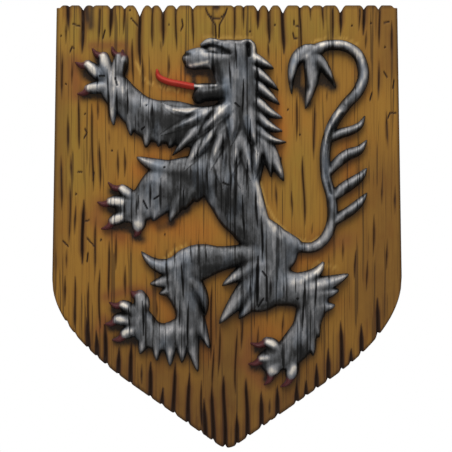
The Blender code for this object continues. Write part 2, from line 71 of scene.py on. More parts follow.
# The boards of the field are part of the one resin casting. They imitate rough upright boards:
# notched ends, long grooves of grain that waver a little, and small nicks. The sheet of their
# front follows the outline, and its columns stand on the grooves, so that these stay crisp.
SIDE_LEAN = 0.006
SHOULDER_HEIGHT = 0.234
FLANK_RUN = 0.133
FLANK_ANGLE = math.radians(35)
POINT_OFFSET = 0.003
LEFT_FLANK_DROP = 0.0065
RIGHT_FLANK_DROP = 0.003
POINT_ROUND = 0.0045
CORNER_DROP = 0.004
EDGE_ROUND = 0.0025
COLUMN_WIDTH = 0.95
ROW_COUNT = 112
EDGE_STEPS = (0, 0.12, 0.45, 1)
LEAN_FROM, CORNER_FROM = 0.85, 0.97
FLANK_STEPS = 41

# Notches of the top edge and of the lower edge: place across, then depth, in pixels. A notch
# opens to its reach and more where it is deep.
TOP_NOTCH_REACH, LOWER_NOTCH_REACH = 2.5, 1.4
NOTCH_FLARE, NOTCH_POINTEDNESS = 0.4, 1.7
TOP_NOTCHES = [
    (68, 2), (83, 5), (93, 1.5), (111, 4), (124.5, 4), (139.5, 11), (151.5, 3), (163, 8),
    (176.5, 4), (193, 4), (234, 2), (243.6, 2), (258, 6), (269, 6), (283, 8), (300.5, 3),
    (311, 3), (323, 2), (340.5, 8), (364, 4), (379, 5),
]
LOWER_NOTCHES = [
    (67, 3), (75, 2), (88, 2), (97, 2), (107, 3), (118.5, 1.5), (130.5, 1.5), (150.5, 2),
    (162, 2), (175, 3), (188, 2), (201, 3), (213, 2.5), (225, 3), (237, 2), (248, 3),
    (262, 3), (270, 2), (278, 2.5), (296.5, 2.5), (306, 2), (316, 2.5), (328, 3), (341.5, 3),
    (351, 2), (361.5, 3), (378, 4),
]

# Grooves of the grain in pixels: place across, top, bottom. Deep ones are open cracks.
DEEP_GROOVES = [
    (83, 6, 55), (111, 6, 38), (139.5, 8, 66), (283, 8, 55), (341, 8, 35), (82.5, 200, 265),
    (257, 255, 305), (68, 5, 30), (163, 8, 44), (269, 8, 44), (364, 5, 36), (258, 8, 30),
    (88, 318, 360), (97, 332, 368), (105.7, 324, 375), (118.5, 347, 385), (130.6, 343, 394),
    (150.6, 360, 410), (162, 388, 418), (174, 363, 427), (188, 374, 438), (205, 400, 448),
    (213, 386, 455), (225, 375, 462), (237, 414, 458), (247.4, 378, 451), (261.5, 392, 441),
    (277.4, 386, 429), (296.5, 382, 414), (306, 380, 408), (316.6, 364, 401), (328.4, 350, 392),
    (341.8, 322, 382), (351, 348, 374), (361.5, 325, 366), (378, 298, 347),
]
GROOVES = [
    (66, 20, 43), (99.5, 8, 45), (124, 10, 35), (132.5, 38, 85), (143, 55, 95), (152, 8, 48),
    (151, 68, 90), (161, 40, 52), (176, 9, 50), (169, 55, 78), (193, 9, 45), (234.7, 8, 40),
    (243.6, 8, 30), (268.5, 40, 60), (301, 8, 55), (310.6, 8, 20), (323, 8, 28), (333, 10, 40),
    (359.7, 10, 30), (366, 30, 50), (379.4, 10, 48), (391.6, 20, 60), (62, 52, 100),
    (72, 62, 85), (68, 115, 155), (79, 95, 150), (92, 103, 190), (98, 100, 120),
    (100, 140, 190), (109, 130, 145), (118, 150, 178), (125, 148, 178), (71, 155, 180),
    (61.5, 155, 210), (70, 180, 245), (75, 205, 235), (95, 218, 275), (109, 240, 300),
    (116, 235, 270), (66.5, 250, 268), (65, 275, 305), (75, 275, 332), (88, 282, 340),
    (99, 270, 330), (125, 265, 298), (141.5, 365, 384), (201, 380, 430), (213, 345, 390),
    (211, 285, 360), (219.7, 325, 375), (235.5, 330, 395), (242, 320, 350), (269.7, 400, 415),
    (283, 310, 340), (258, 325, 350), (276, 180, 210), (292, 190, 215),
    (304, 155, 225), (281, 150, 170), (297, 95, 140), (314.5, 100, 160), (327, 90, 102),
    (312, 225, 235), (343, 240, 260), (374, 215, 255), (387, 240, 270), (367, 260, 290),
    (355, 250, 280), (395, 185, 215), (382, 180, 205), (379, 60, 100), (387, 110, 150),
    (98, 68, 91), (109, 70, 125), (117.5, 88, 118), (128.5, 90, 115), (141, 95, 108),
    (153, 100, 130), (170, 155, 170), (198, 110, 130), (207, 160, 190), (216, 170, 200),
    (223, 130, 160), (236, 150, 215), (247, 160, 190), (243, 80, 118), (257, 60, 110),
    (256, 185, 230), (283, 280, 297), (295, 278, 292), (303, 278, 330), (315, 272, 310),
    (239, 250, 262), (282, 340, 365), (144, 300, 335), (130, 303, 335), (183, 260, 300),
    (125, 195, 222), (139, 195, 210), (151, 180, 208), (161, 178, 215), (230, 60, 90),
    (222, 44, 60), (236, 44, 70), (250, 120, 150), (231, 165, 195), (226, 195, 215),
    (243, 195, 240), (191, 240, 262), (199, 241, 258), (175, 244, 268), (206, 243, 262),
    (167, 250, 290), (191, 165, 180), (184, 190, 205), (262, 215, 262), (250, 275, 300),
    (270, 275, 300), (137.5, 195, 215), (157, 300, 318), (180, 300, 330), (188, 300, 345),
]

# Nicks: short cuts given by the places that they run through. Dots: small round pits.
NICKS = [
    [(73, 24), (80, 26)], [(105, 30), (103, 38)], [(70, 52), (72, 47), (74, 48)],
    [(131, 18), (138, 26)], [(85, 129), (87, 133), (84, 138)], [(78, 172), (82, 172)],
    [(94, 172), (93, 181)], [(83, 222), (89, 220)], [(63, 241), (68, 246)],
    [(87, 238), (94, 246)], [(88, 253), (87, 262)], [(100, 77), (105, 77)],
    [(116, 79), (118, 86)], [(142, 130), (145, 128)], [(155, 199), (160, 196)],
    [(144, 201), (148, 209)], [(223, 183), (229, 186)], [(235, 104), (239, 108)],
    [(384, 72), (387, 77)], [(394, 80), (393, 88)], [(372, 93), (370, 100)],
    [(388, 118), (390, 113), (396, 113)], [(294, 20), (294, 25), (299, 26)],
    [(293, 33), (294, 38), (298, 39)], [(384, 23), (389, 22)],
    [(262, 271), (266, 276), (266.5, 300)], [(263, 298), (258, 306)],
    [(206, 9), (208, 14), (213, 18), (220, 18), (225, 14), (227, 9)],
    [(207, 13), (212, 20), (215.5, 25), (216, 38)], [(226, 13), (222, 20), (219.5, 25), (219, 38)],
    [(182, 20), (183, 26), (181, 30)],
]
DOTS = [
    (61, 36), (169, 24), (130, 10), (66, 84), (85, 114), (112, 151), (101, 240), (76, 194),
    (165, 235), (147, 106), (165, 168), (297, 298), (300, 135), (288, 110), (275, 25),
    (352, 26), (371, 23), (385, 47), (250, 31),
]
KNOT = (216.5, 8)
KNOT_ACROSS, KNOT_DOWN = 4, 2.8
GROOVE_HALF, GROOVE_DEPTH = 1.1, 1.1
CRACK_HALF, CRACK_DEPTH = 1.8, 1.9
NICK_HALF, NICK_DEPTH, NICK_BLUNTNESS = 0.95, 1.1, 0.7
DOT_HALF = 1.1
PIT_FLOOR = 1.2

# On the lion the grooves are narrower by this share.
FIGURE_GROOVE_SHARE = 0.8

# A groove narrows and rises to its end, but one that starts this near the top runs out there.
GROOVE_FADE = 14
END_WIDTH, END_DEPTH = 0.35, 0.3
OPEN_ABOVE = 12

# The grain's two waves in pixels: height, length down, length across, shift.
WAVES = [(1.1, 31, 47, 0), (0.5, 13, 19, 1)]
WAVER_REACH = 3
WAVER_INSET = 0.01
STIFF_SIDES = 8

# Round nicks and dots the sheet is twice as fine, out to this far across and down.
FINE_ACROSS, FINE_DOWN = 3, 5


def waver(x, y):
    """Sideways waver of the grain at a place in pixels; none at the sides."""
    inside = 1 - np.clip(np.abs(x - MIDDLE_X) / (HALF_WIDTH / PIXEL), 0, 1) ** STIFF_SIDES
    return inside * sum(height * np.sin(y / down + x / across + shift)
                        for height, down, across, shift in WAVES)


def middle_waver(place, top, bottom):
    """Sideways waver at the middle of a groove."""
    return waver(np.array(place * 1.0), np.array((top + bottom) / 2))


def groove_depth(x, y, widen=1.0):
    """Depth of the grain's grooves, cracks, nicks, dots and knot at a place in pixels."""
    depth = np.zeros_like(x)
    for half, full, grooves in ((GROOVE_HALF, GROOVE_DEPTH, GROOVES),
                                (CRACK_HALF, CRACK_DEPTH, DEEP_GROOVES)):
        for place, top, bottom in grooves:
            near = np.abs(x - place) < half * widen + WAVER_REACH
            near &= (y > top - 1) & (y < bottom + 1)
            across = x[near] - waver(x[near], y[near]) - place + middle_waver(place, top, bottom)
            ends = bottom - y[near]
            if top >= OPEN_ABOVE:
                ends = np.minimum(y[near] - top, ends)
            taper = np.clip(ends / GROOVE_FADE, 0, 1)
            reach = half * widen * (END_WIDTH + (1 - END_WIDTH) * taper)
            share = np.clip(1 - np.abs(across) / reach, 0, 1) * (taper > 0)
            depth[near] = np.maximum(depth[near], full * (END_DEPTH + (1 - END_DEPTH) * taper) * share)
    for places in NICKS:
        for start, end in zip(places[:-1], places[1:]):
            away = distance_to_line(x, y, start, end)
            share = np.clip(1 - away / NICK_HALF, 0, 1) ** NICK_BLUNTNESS
            depth = np.maximum(depth, NICK_DEPTH * share)
    pits = [(*place, DOT_HALF, DOT_HALF) for place in DOTS] + [(*KNOT, KNOT_ACROSS, KNOT_DOWN)]
    for pit_x, pit_y, across, down in pits:
        away = np.hypot((x - pit_x) / across, (y - pit_y) / down)
        depth = np.maximum(depth, NICK_DEPTH * np.clip(PIT_FLOOR - away ** 2, 0, 1))
    return depth


def distance_to_line(x, y, start, end):
    """Distance from places to a short straight line."""
    run = np.subtract(end, start)
    along = ((x - start[0]) * run[0] + (y - start[1]) * run[1]) / (run @ run)
    along = np.clip(along, 0, 1)
    return np.hypot(x - start[0] - along * run[0], y - start[1] - along * run[1])


def notch_cut(x, notches, reach):
    """How far an edge is cut back at a place across, in pixels."""
    cut = np.zeros_like(x)
    for place, depth in notches:
        share = np.clip(np.abs(x - place) / (reach + NOTCH_FLARE * depth), 0, 1)
        cut = np.maximum(cut, depth * (1 - share) ** NOTCH_POINTEDNESS)
    return cut


def across_of(x):
    """Place across in pixels of a place in metres."""
    return MIDDLE_X + x / PIXEL


def down_of(z):
    """Place down in pixels of a height in metres."""
    return MIDDLE_Y - z / PIXEL


def side_x(z):
    """Half the width at a height: the sides lean in towards the top."""
    climb = (z + SHIELD_HEIGHT / 2 - SHOULDER_HEIGHT) / (SHIELD_HEIGHT - SHOULDER_HEIGHT)
    return HALF_WIDTH - SIDE_LEAN * np.clip(climb, 0, 1)


def lower_edge(x):
    """Height of the lower edge: straight flanks, round shoulders and a blunt point."""
    rise = math.tan(FLANK_ANGLE)
    edge = np.empty_like(x)
    for side, drop in ((-1, LEFT_FLANK_DROP), (1, RIGHT_FLANK_DROP)):
        half = HALF_WIDTH - side * POINT_OFFSET
        bend = np.linspace(0, 1, FLANK_STEPS)
        run = FLANK_RUN * (1 - bend) ** 2 + half * 2 * bend * (1 - bend) + half * bend ** 2
        climb = (FLANK_RUN * rise * (1 - bend) ** 2 + half * rise * 2 * bend * (1 - bend)
                 + SHOULDER_HEIGHT * bend ** 2)
        away = side * (x - POINT_OFFSET)
        here = away >= 0
        edge[here] = np.interp(away[here], np.append(0, run), np.append(0, climb)) - drop
    blunt = np.maximum(edge + POINT_ROUND, 0) ** 2 / (4 * POINT_ROUND)
    edge = np.where(edge < POINT_ROUND, blunt, edge)
    cut = PIXEL * notch_cut(across_of(x), LOWER_NOTCHES, LOWER_NOTCH_REACH)
    return edge - SHIELD_HEIGHT / 2 + cut


def top_edge(x):
    """Height of the top edge: round board ends between the notches, and dropped corners."""
    outward = np.abs(x) / (HALF_WIDTH - SIDE_LEAN)
    corner = np.clip((outward - CORNER_FROM) / (1 - CORNER_FROM), 0, 1)
    cut = PIXEL * notch_cut(across_of(x), TOP_NOTCHES, TOP_NOTCH_REACH)
    return SHIELD_HEIGHT / 2 - cut - CORNER_DROP * corner ** 2


def edge_distance(x, z):
    """Distance from the outline, inwards."""
    below = (z - lower_edge(x)) * math.cos(FLANK_ANGLE)
    return np.minimum.reduce([side_x(z) - np.abs(x), below, top_edge(x) - z])


def grid_places(sheet, columns, rows):
    """Column and row of each corner of a new grid, in the order of its corners."""
    grid = np.array([vert.co[:2] for vert in sheet.verts])
    column = np.rint((grid[:, 0] + 1) / 2 * (columns - 1)).astype(int)
    row = np.rint((grid[:, 1] + 1) / 2 * (rows - 1)).astype(int)
    return column, row


def finished(solid, name):
    """The bmesh as a mesh whose faces point out."""
    bmesh.ops.recalc_face_normals(solid, faces=solid.faces)
    mesh = bpy.data.meshes.new(name)
    solid.to_mesh(mesh)
    solid.free()
    return mesh


def board_front_y(x, z):
    """Depth of the boards' front at a place: grooves, and the edge rounded over."""
    away = np.clip(edge_distance(x, z), 0, EDGE_ROUND)
    rounding = EDGE_ROUND - np.sqrt(np.maximum(EDGE_ROUND ** 2 - (EDGE_ROUND - away) ** 2, 0))
    grooves = groove_depth(across_of(x), down_of(z)) * PIXEL
    return -(BOARD_THICKNESS - rounding - grooves)


half_columns = int(HALF_WIDTH / PIXEL / COLUMN_WIDTH)
columns = np.linspace(-HALF_WIDTH, HALF_WIDTH, 2 * half_columns + 1)
for place, top, bottom in GROOVES + DEEP_GROOVES:
    centre = (place - middle_waver(place, top, bottom) - MIDDLE_X) * PIXEL
    nearest_column = np.abs(columns[1:-1] - centre).argmin() + 1
    columns[nearest_column] = centre
columns.sort()
edge_rows = EDGE_ROUND * np.array(EDGE_STEPS)
row_count = ROW_COUNT + 2 * len(edge_rows)
board_sheet = bmesh.new()
bmesh.ops.create_grid(board_sheet, x_segments=len(columns) - 1, y_segments=row_count - 1, size=1)
column, row = grid_places(board_sheet, len(columns), row_count)
x = columns[column]
low_z, high_z = lower_edge(x), top_edge(x)
share = (row - len(edge_rows) + 1) / (ROW_COUNT + 1)
z = low_z + edge_rows[-1] + (high_z - low_z - 2 * edge_rows[-1]) * share
for step, away in enumerate(edge_rows[:-1]):
    z = np.where(row == step, low_z + away, z)
    z = np.where(row == row_count - 1 - step, high_z - away, z)
inside = np.clip(edge_distance(x, z) / WAVER_INSET, 0, 1)
x = x + PIXEL * waver(across_of(x), down_of(z)) * inside
outer = np.clip((np.abs(x) / HALF_WIDTH - LEAN_FROM) / (1 - LEAN_FROM), 0, 1)
x = x - np.sign(x) * (HALF_WIDTH - side_x(z)) * outer
for vert, place in zip(board_sheet.verts, zip(x, np.zeros_like(x), z)):
    vert.co = place

nick_places = [place for places in NICKS for place in places] + DOTS
marked = set()
for face in board_sheet.faces:
    centre = face.calc_center_median()
    across, down = across_of(centre.x), down_of(centre.z)
    if any(abs(across - place[0]) < FINE_ACROSS and abs(down - place[1]) < FINE_DOWN
           for place in nick_places):
        marked.update(face.edges)
bmesh.ops.subdivide_edges(board_sheet, edges=list(marked), cuts=1, use_grid_fill=True)
board_sheet.verts.ensure_lookup_table()
places = np.array([vert.co for vert in board_sheet.verts])
for vert, y in zip(board_sheet.verts, board_front_y(places[:, 0], places[:, 2])):
    vert.co.y = y
rim = [edge for edge in board_sheet.edges if edge.is_boundary]
walls = bmesh.ops.extrude_edge_only(board_sheet, edges=rim)["geom"]
for vert in (item for item in walls if isinstance(item, bmesh.types.BMVert)):
    vert.co.y = 0
back_rim = [edge for edge in board_sheet.edges if edge.is_boundary]
bmesh.ops.holes_fill(board_sheet, edges=back_rim, sides=0)
boards = finished(board_sheet, "boards")


# The lion rampant stands on the boards in high relief, cast in one with them. It is modelled as
# a sculptor builds it up: flesh, tail, toes and claws, tufts, locks of the mane, then the face.
# Its drawing has its own zero, left of the claws and below them, with a pixel as its unit.
DRAWING_LEFT, DRAWING_LOW = 200, 400
FIGURE_LEFT, FIGURE_RIGHT, FIGURE_LOW, FIGURE_TOP = -132, 172, 4, 372
LION_RELIEF = -low.y - BOARD_THICKNESS
WALL_SLOPE = 3.2
RASTER = 0.5
LION_CELL = 0.97
LION_ROOT = 0.004
ROOT_FLOOR = 0.003
RIM_MARGIN = 0.009
SUNK_SHARE = 0.99
FULL_GROOVE_RISE = 0.004
MOULD_BLUR = 0.6
PARTING_DEPTH = 4
NO_FORM = -60.0

# Shoulder, roundness and fillet of each kind of form.
FLESH, TAIL_FORM, STRAND, TOE = (0.3, 2.1, 3), (0.35, 2, 1.5), (0.35, 1.8, 1), (0.35, 2, 0.8)
CLAW, TUFT, LOCK = (0.4, 1.8, 0), (0.35, 1.6, 2), (0.55, 1.4, 0.4)
RIBBON, RIDGE, EYEBALL = (0.5, 2, 0), (0.5, 2, 1), (0.6, 2, 0)

# Flesh: across, up, half width, rise.
BODY = {
    "skull": [(41.5, 346, 13, 11.5), (30, 348, 12.5, 12), (14, 349, 11, 12)],
    "muzzle": [(20, 343, 12, 12), (6, 342, 11.5, 13), (-4, 341.5, 10.5, 12.5), (-9.5, 341.5, 8.5, 10.5)],
    "cheek": [(23, 338, 13, 11), (26, 326, 12, 10.5), (26, 315, 9, 9)],
    "jaw": [(26, 310, 9, 9), (14, 307, 8, 10.5), (3, 306, 8, 10.5), (-1, 303, 7, 9)],
    "neck": [(39, 345, 15, 11), (41, 325, 17, 12), (42, 300, 18, 12), (42, 280, 20, 10)],
    "mane bed": [(38, 284, 24, 6), (30, 262, 34, 6.5), (30, 244, 35, 7.5), (32, 228, 30, 9)],
    "trunk": [(30, 236, 28, 8), (30, 218, 29, 13), (35.5, 204, 27, 14), (41, 191, 25, 13.5),
              (47.5, 180, 21, 13.5), (56, 169, 18.5, 13), (68, 158, 20.5, 12.5), (76, 148, 22, 12)],
    "rump": [(80, 156, 15, 11), (94, 154.5, 8.5, 9.5)],
    "belly": [(38, 168, 6.5, 7), (46, 161, 8, 8)],
    "raised foreleg": [(8, 270, 20, 7), (-24, 277, 22, 9.5), (-44, 279, 21, 11), (-60, 287, 18, 11),
                       (-72, 298, 16, 10.5), (-82, 308, 16, 10), (-88, 317, 14, 9.5)],
    "lower foreleg": [(8, 226, 22, 11), (-15, 221, 22, 12.5), (-34, 213, 24, 12.5), (-52, 199, 17.5, 11.5),
                      (-63, 193, 16, 10.5), (-70, 192, 15, 9.5)],
    "left hind leg": [(62, 146, 15, 11), (40, 144.5, 11, 10), (18, 141, 13, 11), (0, 138, 18, 12.5),
                      (-14, 131, 18.5, 12.5), (-20, 117, 17, 12), (-15, 103, 15, 12), (-11, 88, 13.5, 12),
                      (-14, 73, 14, 11), (-32, 63.5, 14, 10.5), (-48, 66, 14, 10), (-61, 79, 14.5, 9.5)],
    "haunch": [(71, 146, 20.5, 12), (67, 129, 23.5, 13.5), (62, 114, 24, 13.5), (57, 106, 18, 10)],
    "right hind leg": [(70, 116, 22, 12), (92, 111, 17, 12.5), (108, 108, 18, 12), (112, 97, 16, 12),
                       (109, 84, 14, 11.5), (105, 70, 14, 11), (97, 56, 15.5, 11), (86, 45, 14, 10),
                       (76, 43, 13.5, 9), (72, 39, 12.5, 8)],
}
TAIL = [(86, 156, 8, 9.5), (100, 153, 5.5, 8.5), (113, 153, 5.4, 8.5), (125, 162, 5.4, 8.5),
        (132, 179, 5.4, 8.5), (131.5, 202, 5.4, 8.5), (126, 224, 5.4, 8.5), (125.5, 250, 5.4, 8.5),
        (132, 274, 5.4, 8.5), (145, 294, 5.6, 8.5), (158, 309, 5.8, 8.5), (163.5, 326, 5.8, 8.5),
        (158, 345, 5.6, 8.5), (144, 354, 5.4, 8.5), (127, 354.5, 5.4, 8.5), (114, 349, 6, 8.5),
        (107, 342, 6, 9)]
TAIL_STRANDS = [
    [(128, 260, 4, 7.5), (139, 266, 5, 8), (152, 270, 4.6, 8), (160, 275, 3.4, 7), (165, 284, 0.8, 5)],
    [(130, 228, 3.5, 7.5), (138, 238, 5.6, 8), (148, 245.5, 5.8, 8), (159, 250, 4.6, 7), (167, 260, 0.8, 5)],
    [(132, 201, 3.5, 7.5), (140, 209, 5.8, 8), (150, 216, 6, 8), (160, 223, 4.6, 7), (167, 232, 0.8, 5)],
    [(133, 177, 3.5, 7.5), (141, 183.5, 5.2, 8), (151, 190, 5.2, 8), (160, 198, 4.2, 7), (167, 207, 0.8, 5)],
]
TONGUE = [(-43, 330, 1.4, 5), (-41, 323, 3, 6), (-32, 318.5, 3.4, 6.5), (-20, 316, 3.4, 7),
          (-7, 313.5, 3.4, 7), (6, 312, 2.5, 6)]
FACE_RIDGES = [
    [(3, 354, 3.5, 13), (10, 357, 5.2, 15), (18, 357, 4, 13.5)],
    [(4, 346, 2.6, 13), (12, 343, 3, 13.8), (26, 342, 3, 12.8)],
    [(42, 357.5, 2.8, 12.5), (48, 358.5, 2.8, 14), (52.6, 355, 3, 14.5), (54, 347, 3, 14),
     (53.5, 340, 2.4, 13)],
    [(-13, 334.5, 2.2, 9.5), (-4, 332.6, 2.6, 12), (6, 335.5, 2.2, 12)],
    [(-7, 314, 1.6, 9.5), (4, 315.2, 1.8, 11.5), (17, 315, 1.6, 11.5)],
]
# Hollows of the eye socket, the nostril and the ear: (across, up, half width), then depth.
FACE_HOLLOWS = [
    ([(2, 353, 2.4), (11, 350.5, 4), (21, 348, 3.6), (30, 345, 1.5)], 4),
    ([(-15, 345.5, 2), (-12, 344, 2.2)], 3.5),
    ([(47.5, 354, 1.5), (48.5, 349, 2.4), (49, 343, 1.5)], 5),
]
EYE = [(10.5, 350.3, 2.4, 14), (13, 349.8, 2.4, 14)]

# Locks and tufts: root, bend, tip, half width, rise.
LEG_TUFTS = [
    # raised foreleg
    ((-84, 308), (-87, 291), (-86, 274), 7.5, 10), ((-68, 292), (-69, 280), (-69, 264), 10, 10.5),
    ((-50, 280), (-52, 267), (-54, 252), 11, 11), ((-38, 276), (-38, 266), (-42, 253), 10, 10),
    ((-26, 268), (-28, 260), (-31, 252), 9, 9),
    # lower foreleg
    ((-18, 226), (-44, 234), (-63.5, 243), 12, 12.5), ((-44, 218), (-50, 217), (-58, 212), 10, 11),
    ((-2, 216), (-10, 204), (-15, 190), 11, 11.5), ((-18, 206), (-24, 194), (-30, 178), 12, 11.5),
    ((-36, 198), (-42, 189), (-47, 179), 10, 10.5), ((-4, 212), (-2, 205), (-4, 198), 8, 10),
    # left hind leg
    ((-6, 140), (-36, 133), (-59, 149), 13, 12), ((-18, 124), (-34, 119), (-50, 116), 11, 11),
    ((-20, 114), (-30, 110), (-41, 106), 9, 10.5), ((-8, 118), (3, 102), (5, 84), 9, 12),
    ((-10, 96), (0, 74), (10, 51), 11, 11.5), ((-10, 76), (-7, 52), (-2, 28), 10, 11.5),
    ((-20, 70), (-18, 53), (-18, 37), 9, 11), ((-32, 66), (-30, 50), (-30, 34), 9, 11),
    ((-42, 64), (-43, 52), (-43, 39), 8, 10.5), ((-52, 68), (-56, 57), (-60, 46), 9, 10),
    # right hind leg
    ((66, 136), (44, 128), (22, 114), 13, 13.5), ((62, 124), (40, 102), (19, 76), 15, 13.5),
    ((64, 112), (50, 96), (39, 81), 12, 12.5), ((92, 116), (112, 124), (124, 139), 11, 12.5),
    ((102, 110), (128, 117), (149, 126), 12, 12.5), ((104, 106), (124, 107), (139, 110), 11, 11.5),
    ((104, 100), (121, 94), (135, 95), 11, 11.5), ((111, 88), (116, 76), (119, 62), 7, 9.5),
    ((106, 68), (111, 57), (113, 44), 8, 9.5),
]
# Locks of the nape, from the crown down.
NAPE_LOCKS = [
    ((48, 345), (62, 337), (74, 331), 6, 11), ((50, 333), (65, 321), (79, 309), 6, 11.5),
    ((52, 319), (67, 306), (80, 295), 6, 11.5), ((52, 303), (67, 289), (83, 282), 6.5, 11.5),
    ((52, 291), (67, 275), (83, 269), 6.5, 11.5), ((52, 278), (67, 262), (87, 258), 6.5, 11.5),
    ((56, 264), (67, 246), (71, 222), 8, 12), ((64, 260), (75, 238), (84, 218), 7.5, 10.5),
]
# Locks of the chest, from the lowest row up.
CHEST_LOCKS = [
    ((4, 262), (-4, 248), (-15, 229), 7.5, 11), ((20, 256), (19, 236), (23, 211), 7, 12),
    ((38, 250), (38, 230), (42, 210), 7, 11.5), ((6, 280), (-9, 264), (-28, 244), 7.5, 12.5),
    ((24, 282), (12, 265), (-4, 241), 7.5, 13), ((28, 276), (18, 254), (10, 229), 7.5, 13.5),
    ((42, 270), (37, 248), (31, 224), 8, 13.5), ((44, 264), (48, 240), (52, 217), 7, 13),
    ((58, 258), (57, 240), (54, 220), 6.5, 13), ((32, 298), (33, 276), (31, 254), 8.5, 14),
    ((47, 298), (52, 272), (57, 245), 8.5, 14), ((14, 291), (-16, 287), (-38, 297), 6, 12.5),
    ((20, 292), (-8, 279), (-40, 264), 7, 13.5), ((32, 296), (14, 280), (-2, 262), 7.5, 14),
]
# The brush of the tail.
BRUSH_LOCKS = [
    ((120, 350), (96, 340), (92, 304), 7.5, 10.5), ((111, 348), (112, 322), (105, 290), 9, 11.5),
    ((112, 344), (124, 333), (136, 311), 6.5, 10),
]
# Toes: palm, knuckle, root of the claw, tip of the claw, half width.
TOES = [
    # raised paw
    ((-94, 318), (-105, 329), (-112, 335), (-125, 338), 6.6),
    ((-92, 320), (-95, 335), (-96, 343), (-108, 352), 6.8),
    ((-86, 320), (-82, 335), (-81, 343), (-88, 354), 6),
    ((-79, 326), (-76, 336), (-75, 342), (-77, 351), 4.6),
    ((-90, 314), (-103, 312.5), (-111, 311), (-123, 306), 6.4),
    # lower forepaw
    ((-62, 198), (-73, 207), (-78, 211), (-92, 218), 6.2),
    ((-68, 196), (-82, 198), (-89, 198), (-103, 198), 6.6),
    ((-70, 188), (-81, 182), (-87, 179), (-99, 171), 6.4),
    ((-60, 188), (-61, 178), (-62, 173), (-66, 163), 7.5),
    # left hind paw
    ((-60, 84), (-58, 97), (-60, 104), (-69, 109), 8),
    ((-62, 84), (-72, 92), (-77, 95), (-91, 98), 6.6),
    ((-64, 79), (-77, 81), (-83, 81), (-96, 76), 6.8),
    ((-60, 74), (-70, 69), (-75, 66), (-88, 60), 7),
    # right hind paw
    ((82, 46), (73, 55), (67, 58), (50, 57), 6.6),
    ((78, 42), (67, 43), (62, 42), (48, 36), 6.6),
    ((80, 38), (74, 32), (71, 28), (64, 15), 7),
    ((92, 42), (92, 31), (91, 25), (80, 13), 7),
]
# The tail's two strands part along this line, and these lines cross it.
TAIL_PARTING = [(140, 286, 0.7), (130, 268, 1.1), (125.5, 246, 1.2), (125.5, 226, 1.2), (130, 206, 0.8)]
TAIL_NICKS = [
    [(335, 42), (336, 50)], [(344, 41), (343, 50)], [(349, 124), (355, 132)],
    [(354, 149), (360, 155)], [(343, 209), (350, 217)], [(309, 242), (313, 250)],
    [(297, 239), (299, 248)], [(338, 103), (345, 107)], [(358, 178), (362, 184)],
]


def smooth_curve(points, step=1.5):
    """A smooth curve through the points, with its half width and rise."""
    knots = np.array(points, float)
    ends = np.vstack([2 * knots[0] - knots[1], knots, 2 * knots[-1] - knots[-2]])
    path = []
    for before, start, end, after in zip(ends[:-3], ends[1:-2], ends[2:-1], ends[3:]):
        steps = max(2, int(np.hypot(*(end - start)[:2]) / step) + 1)
        for t in np.arange(steps) / steps:
            path.append(0.5 * (2 * start + (end - before) * t
                               + (2 * before - 5 * start + 4 * end - after) * t ** 2
                               + (3 * start - before - 3 * end + after) * t ** 3))
    path.append(knots[-1])
    path = np.array(path)
    path[:, 2:] = np.maximum(path[:, 2:], 0.3)
    return path


def bent_path(root, bend, tip, half_width, rise, steps=14):
    """Places, half widths and rises from root to tip, passing through the bend."""
    root, bend, tip = (np.array(place, float) for place in (root, bend, tip))
    pull = 2 * bend - 0.5 * (root + tip)
    path = []
    for t in np.linspace(0, 1, steps):
        place = root * (1 - t) ** 2 + pull * 2 * t * (1 - t) + tip * t ** 2
        path.append((*place, half_width(t), rise(t)))
    return np.array(path)


def lock(root, bend, tip, width, height):
    """A leaf-shaped lock of the mane: narrow root, full belly, fine tip."""
    return bent_path(root, bend, tip,
                     lambda t: width * min(1, 0.6 + 1.6 * t) * (1 - t ** 2.2) + 0.5,
                     lambda t: height * (0.62 + 1.36 * t - 1.23 * t ** 2))


def tuft(root, bend, tip, width, height):
    """A tuft of a leg, which grows out of the flesh: broad root, fine tip."""
    return bent_path(root, bend, tip,
                     lambda t: width * (1 - t) ** 0.75 + 0.5,
                     lambda t: height * (1 - 0.42 * t ** 2))


def toe_and_claw(palm, knuckle, nail, tip, width):
    """The fat toe and the thin hooked claw in front of it."""
    toe = [(*palm, 0.9 * width, 8), (*knuckle, width, 10), (*nail, 0.78 * width, 8.5)]
    nail, tip = np.array(nail, float), np.array(tip, float)
    run = tip - nail
    bend = (nail + tip) / 2 + 0.16 * np.array([-run[1], run[0]])
    claw = [(*nail, 0.6 * width, 6), (*bend, 0.45 * width, 6), (*tip, 0.7, 4)]
    return smooth_curve(toe), smooth_curve(claw)


def nearest(path, u, v):
    """Distance to a tapering path, and the half width and rise there."""
    gap = np.full(u.shape, 1e9)
    distance, width, rise = np.zeros(u.shape), np.ones(u.shape), np.zeros(u.shape)
    for start, end in zip(path[:-1], path[1:]):
        run = end[:2] - start[:2]
        along = ((u - start[0]) * run[0] + (v - start[1]) * run[1]) / max(run @ run, 1e-9)
        along = np.clip(along, 0, 1)
        away = np.hypot(u - start[0] - along * run[0], v - start[1] - along * run[1])
        half = start[2] + along * (end[2] - start[2])
        closer = away - half < gap
        gap = np.where(closer, away - half, gap)
        distance = np.where(closer, away, distance)
        width = np.where(closer, half, width)
        if len(start) > 3:
            rise = np.where(closer, start[3] + along * (end[3] - start[3]), rise)
    return distance, width, rise


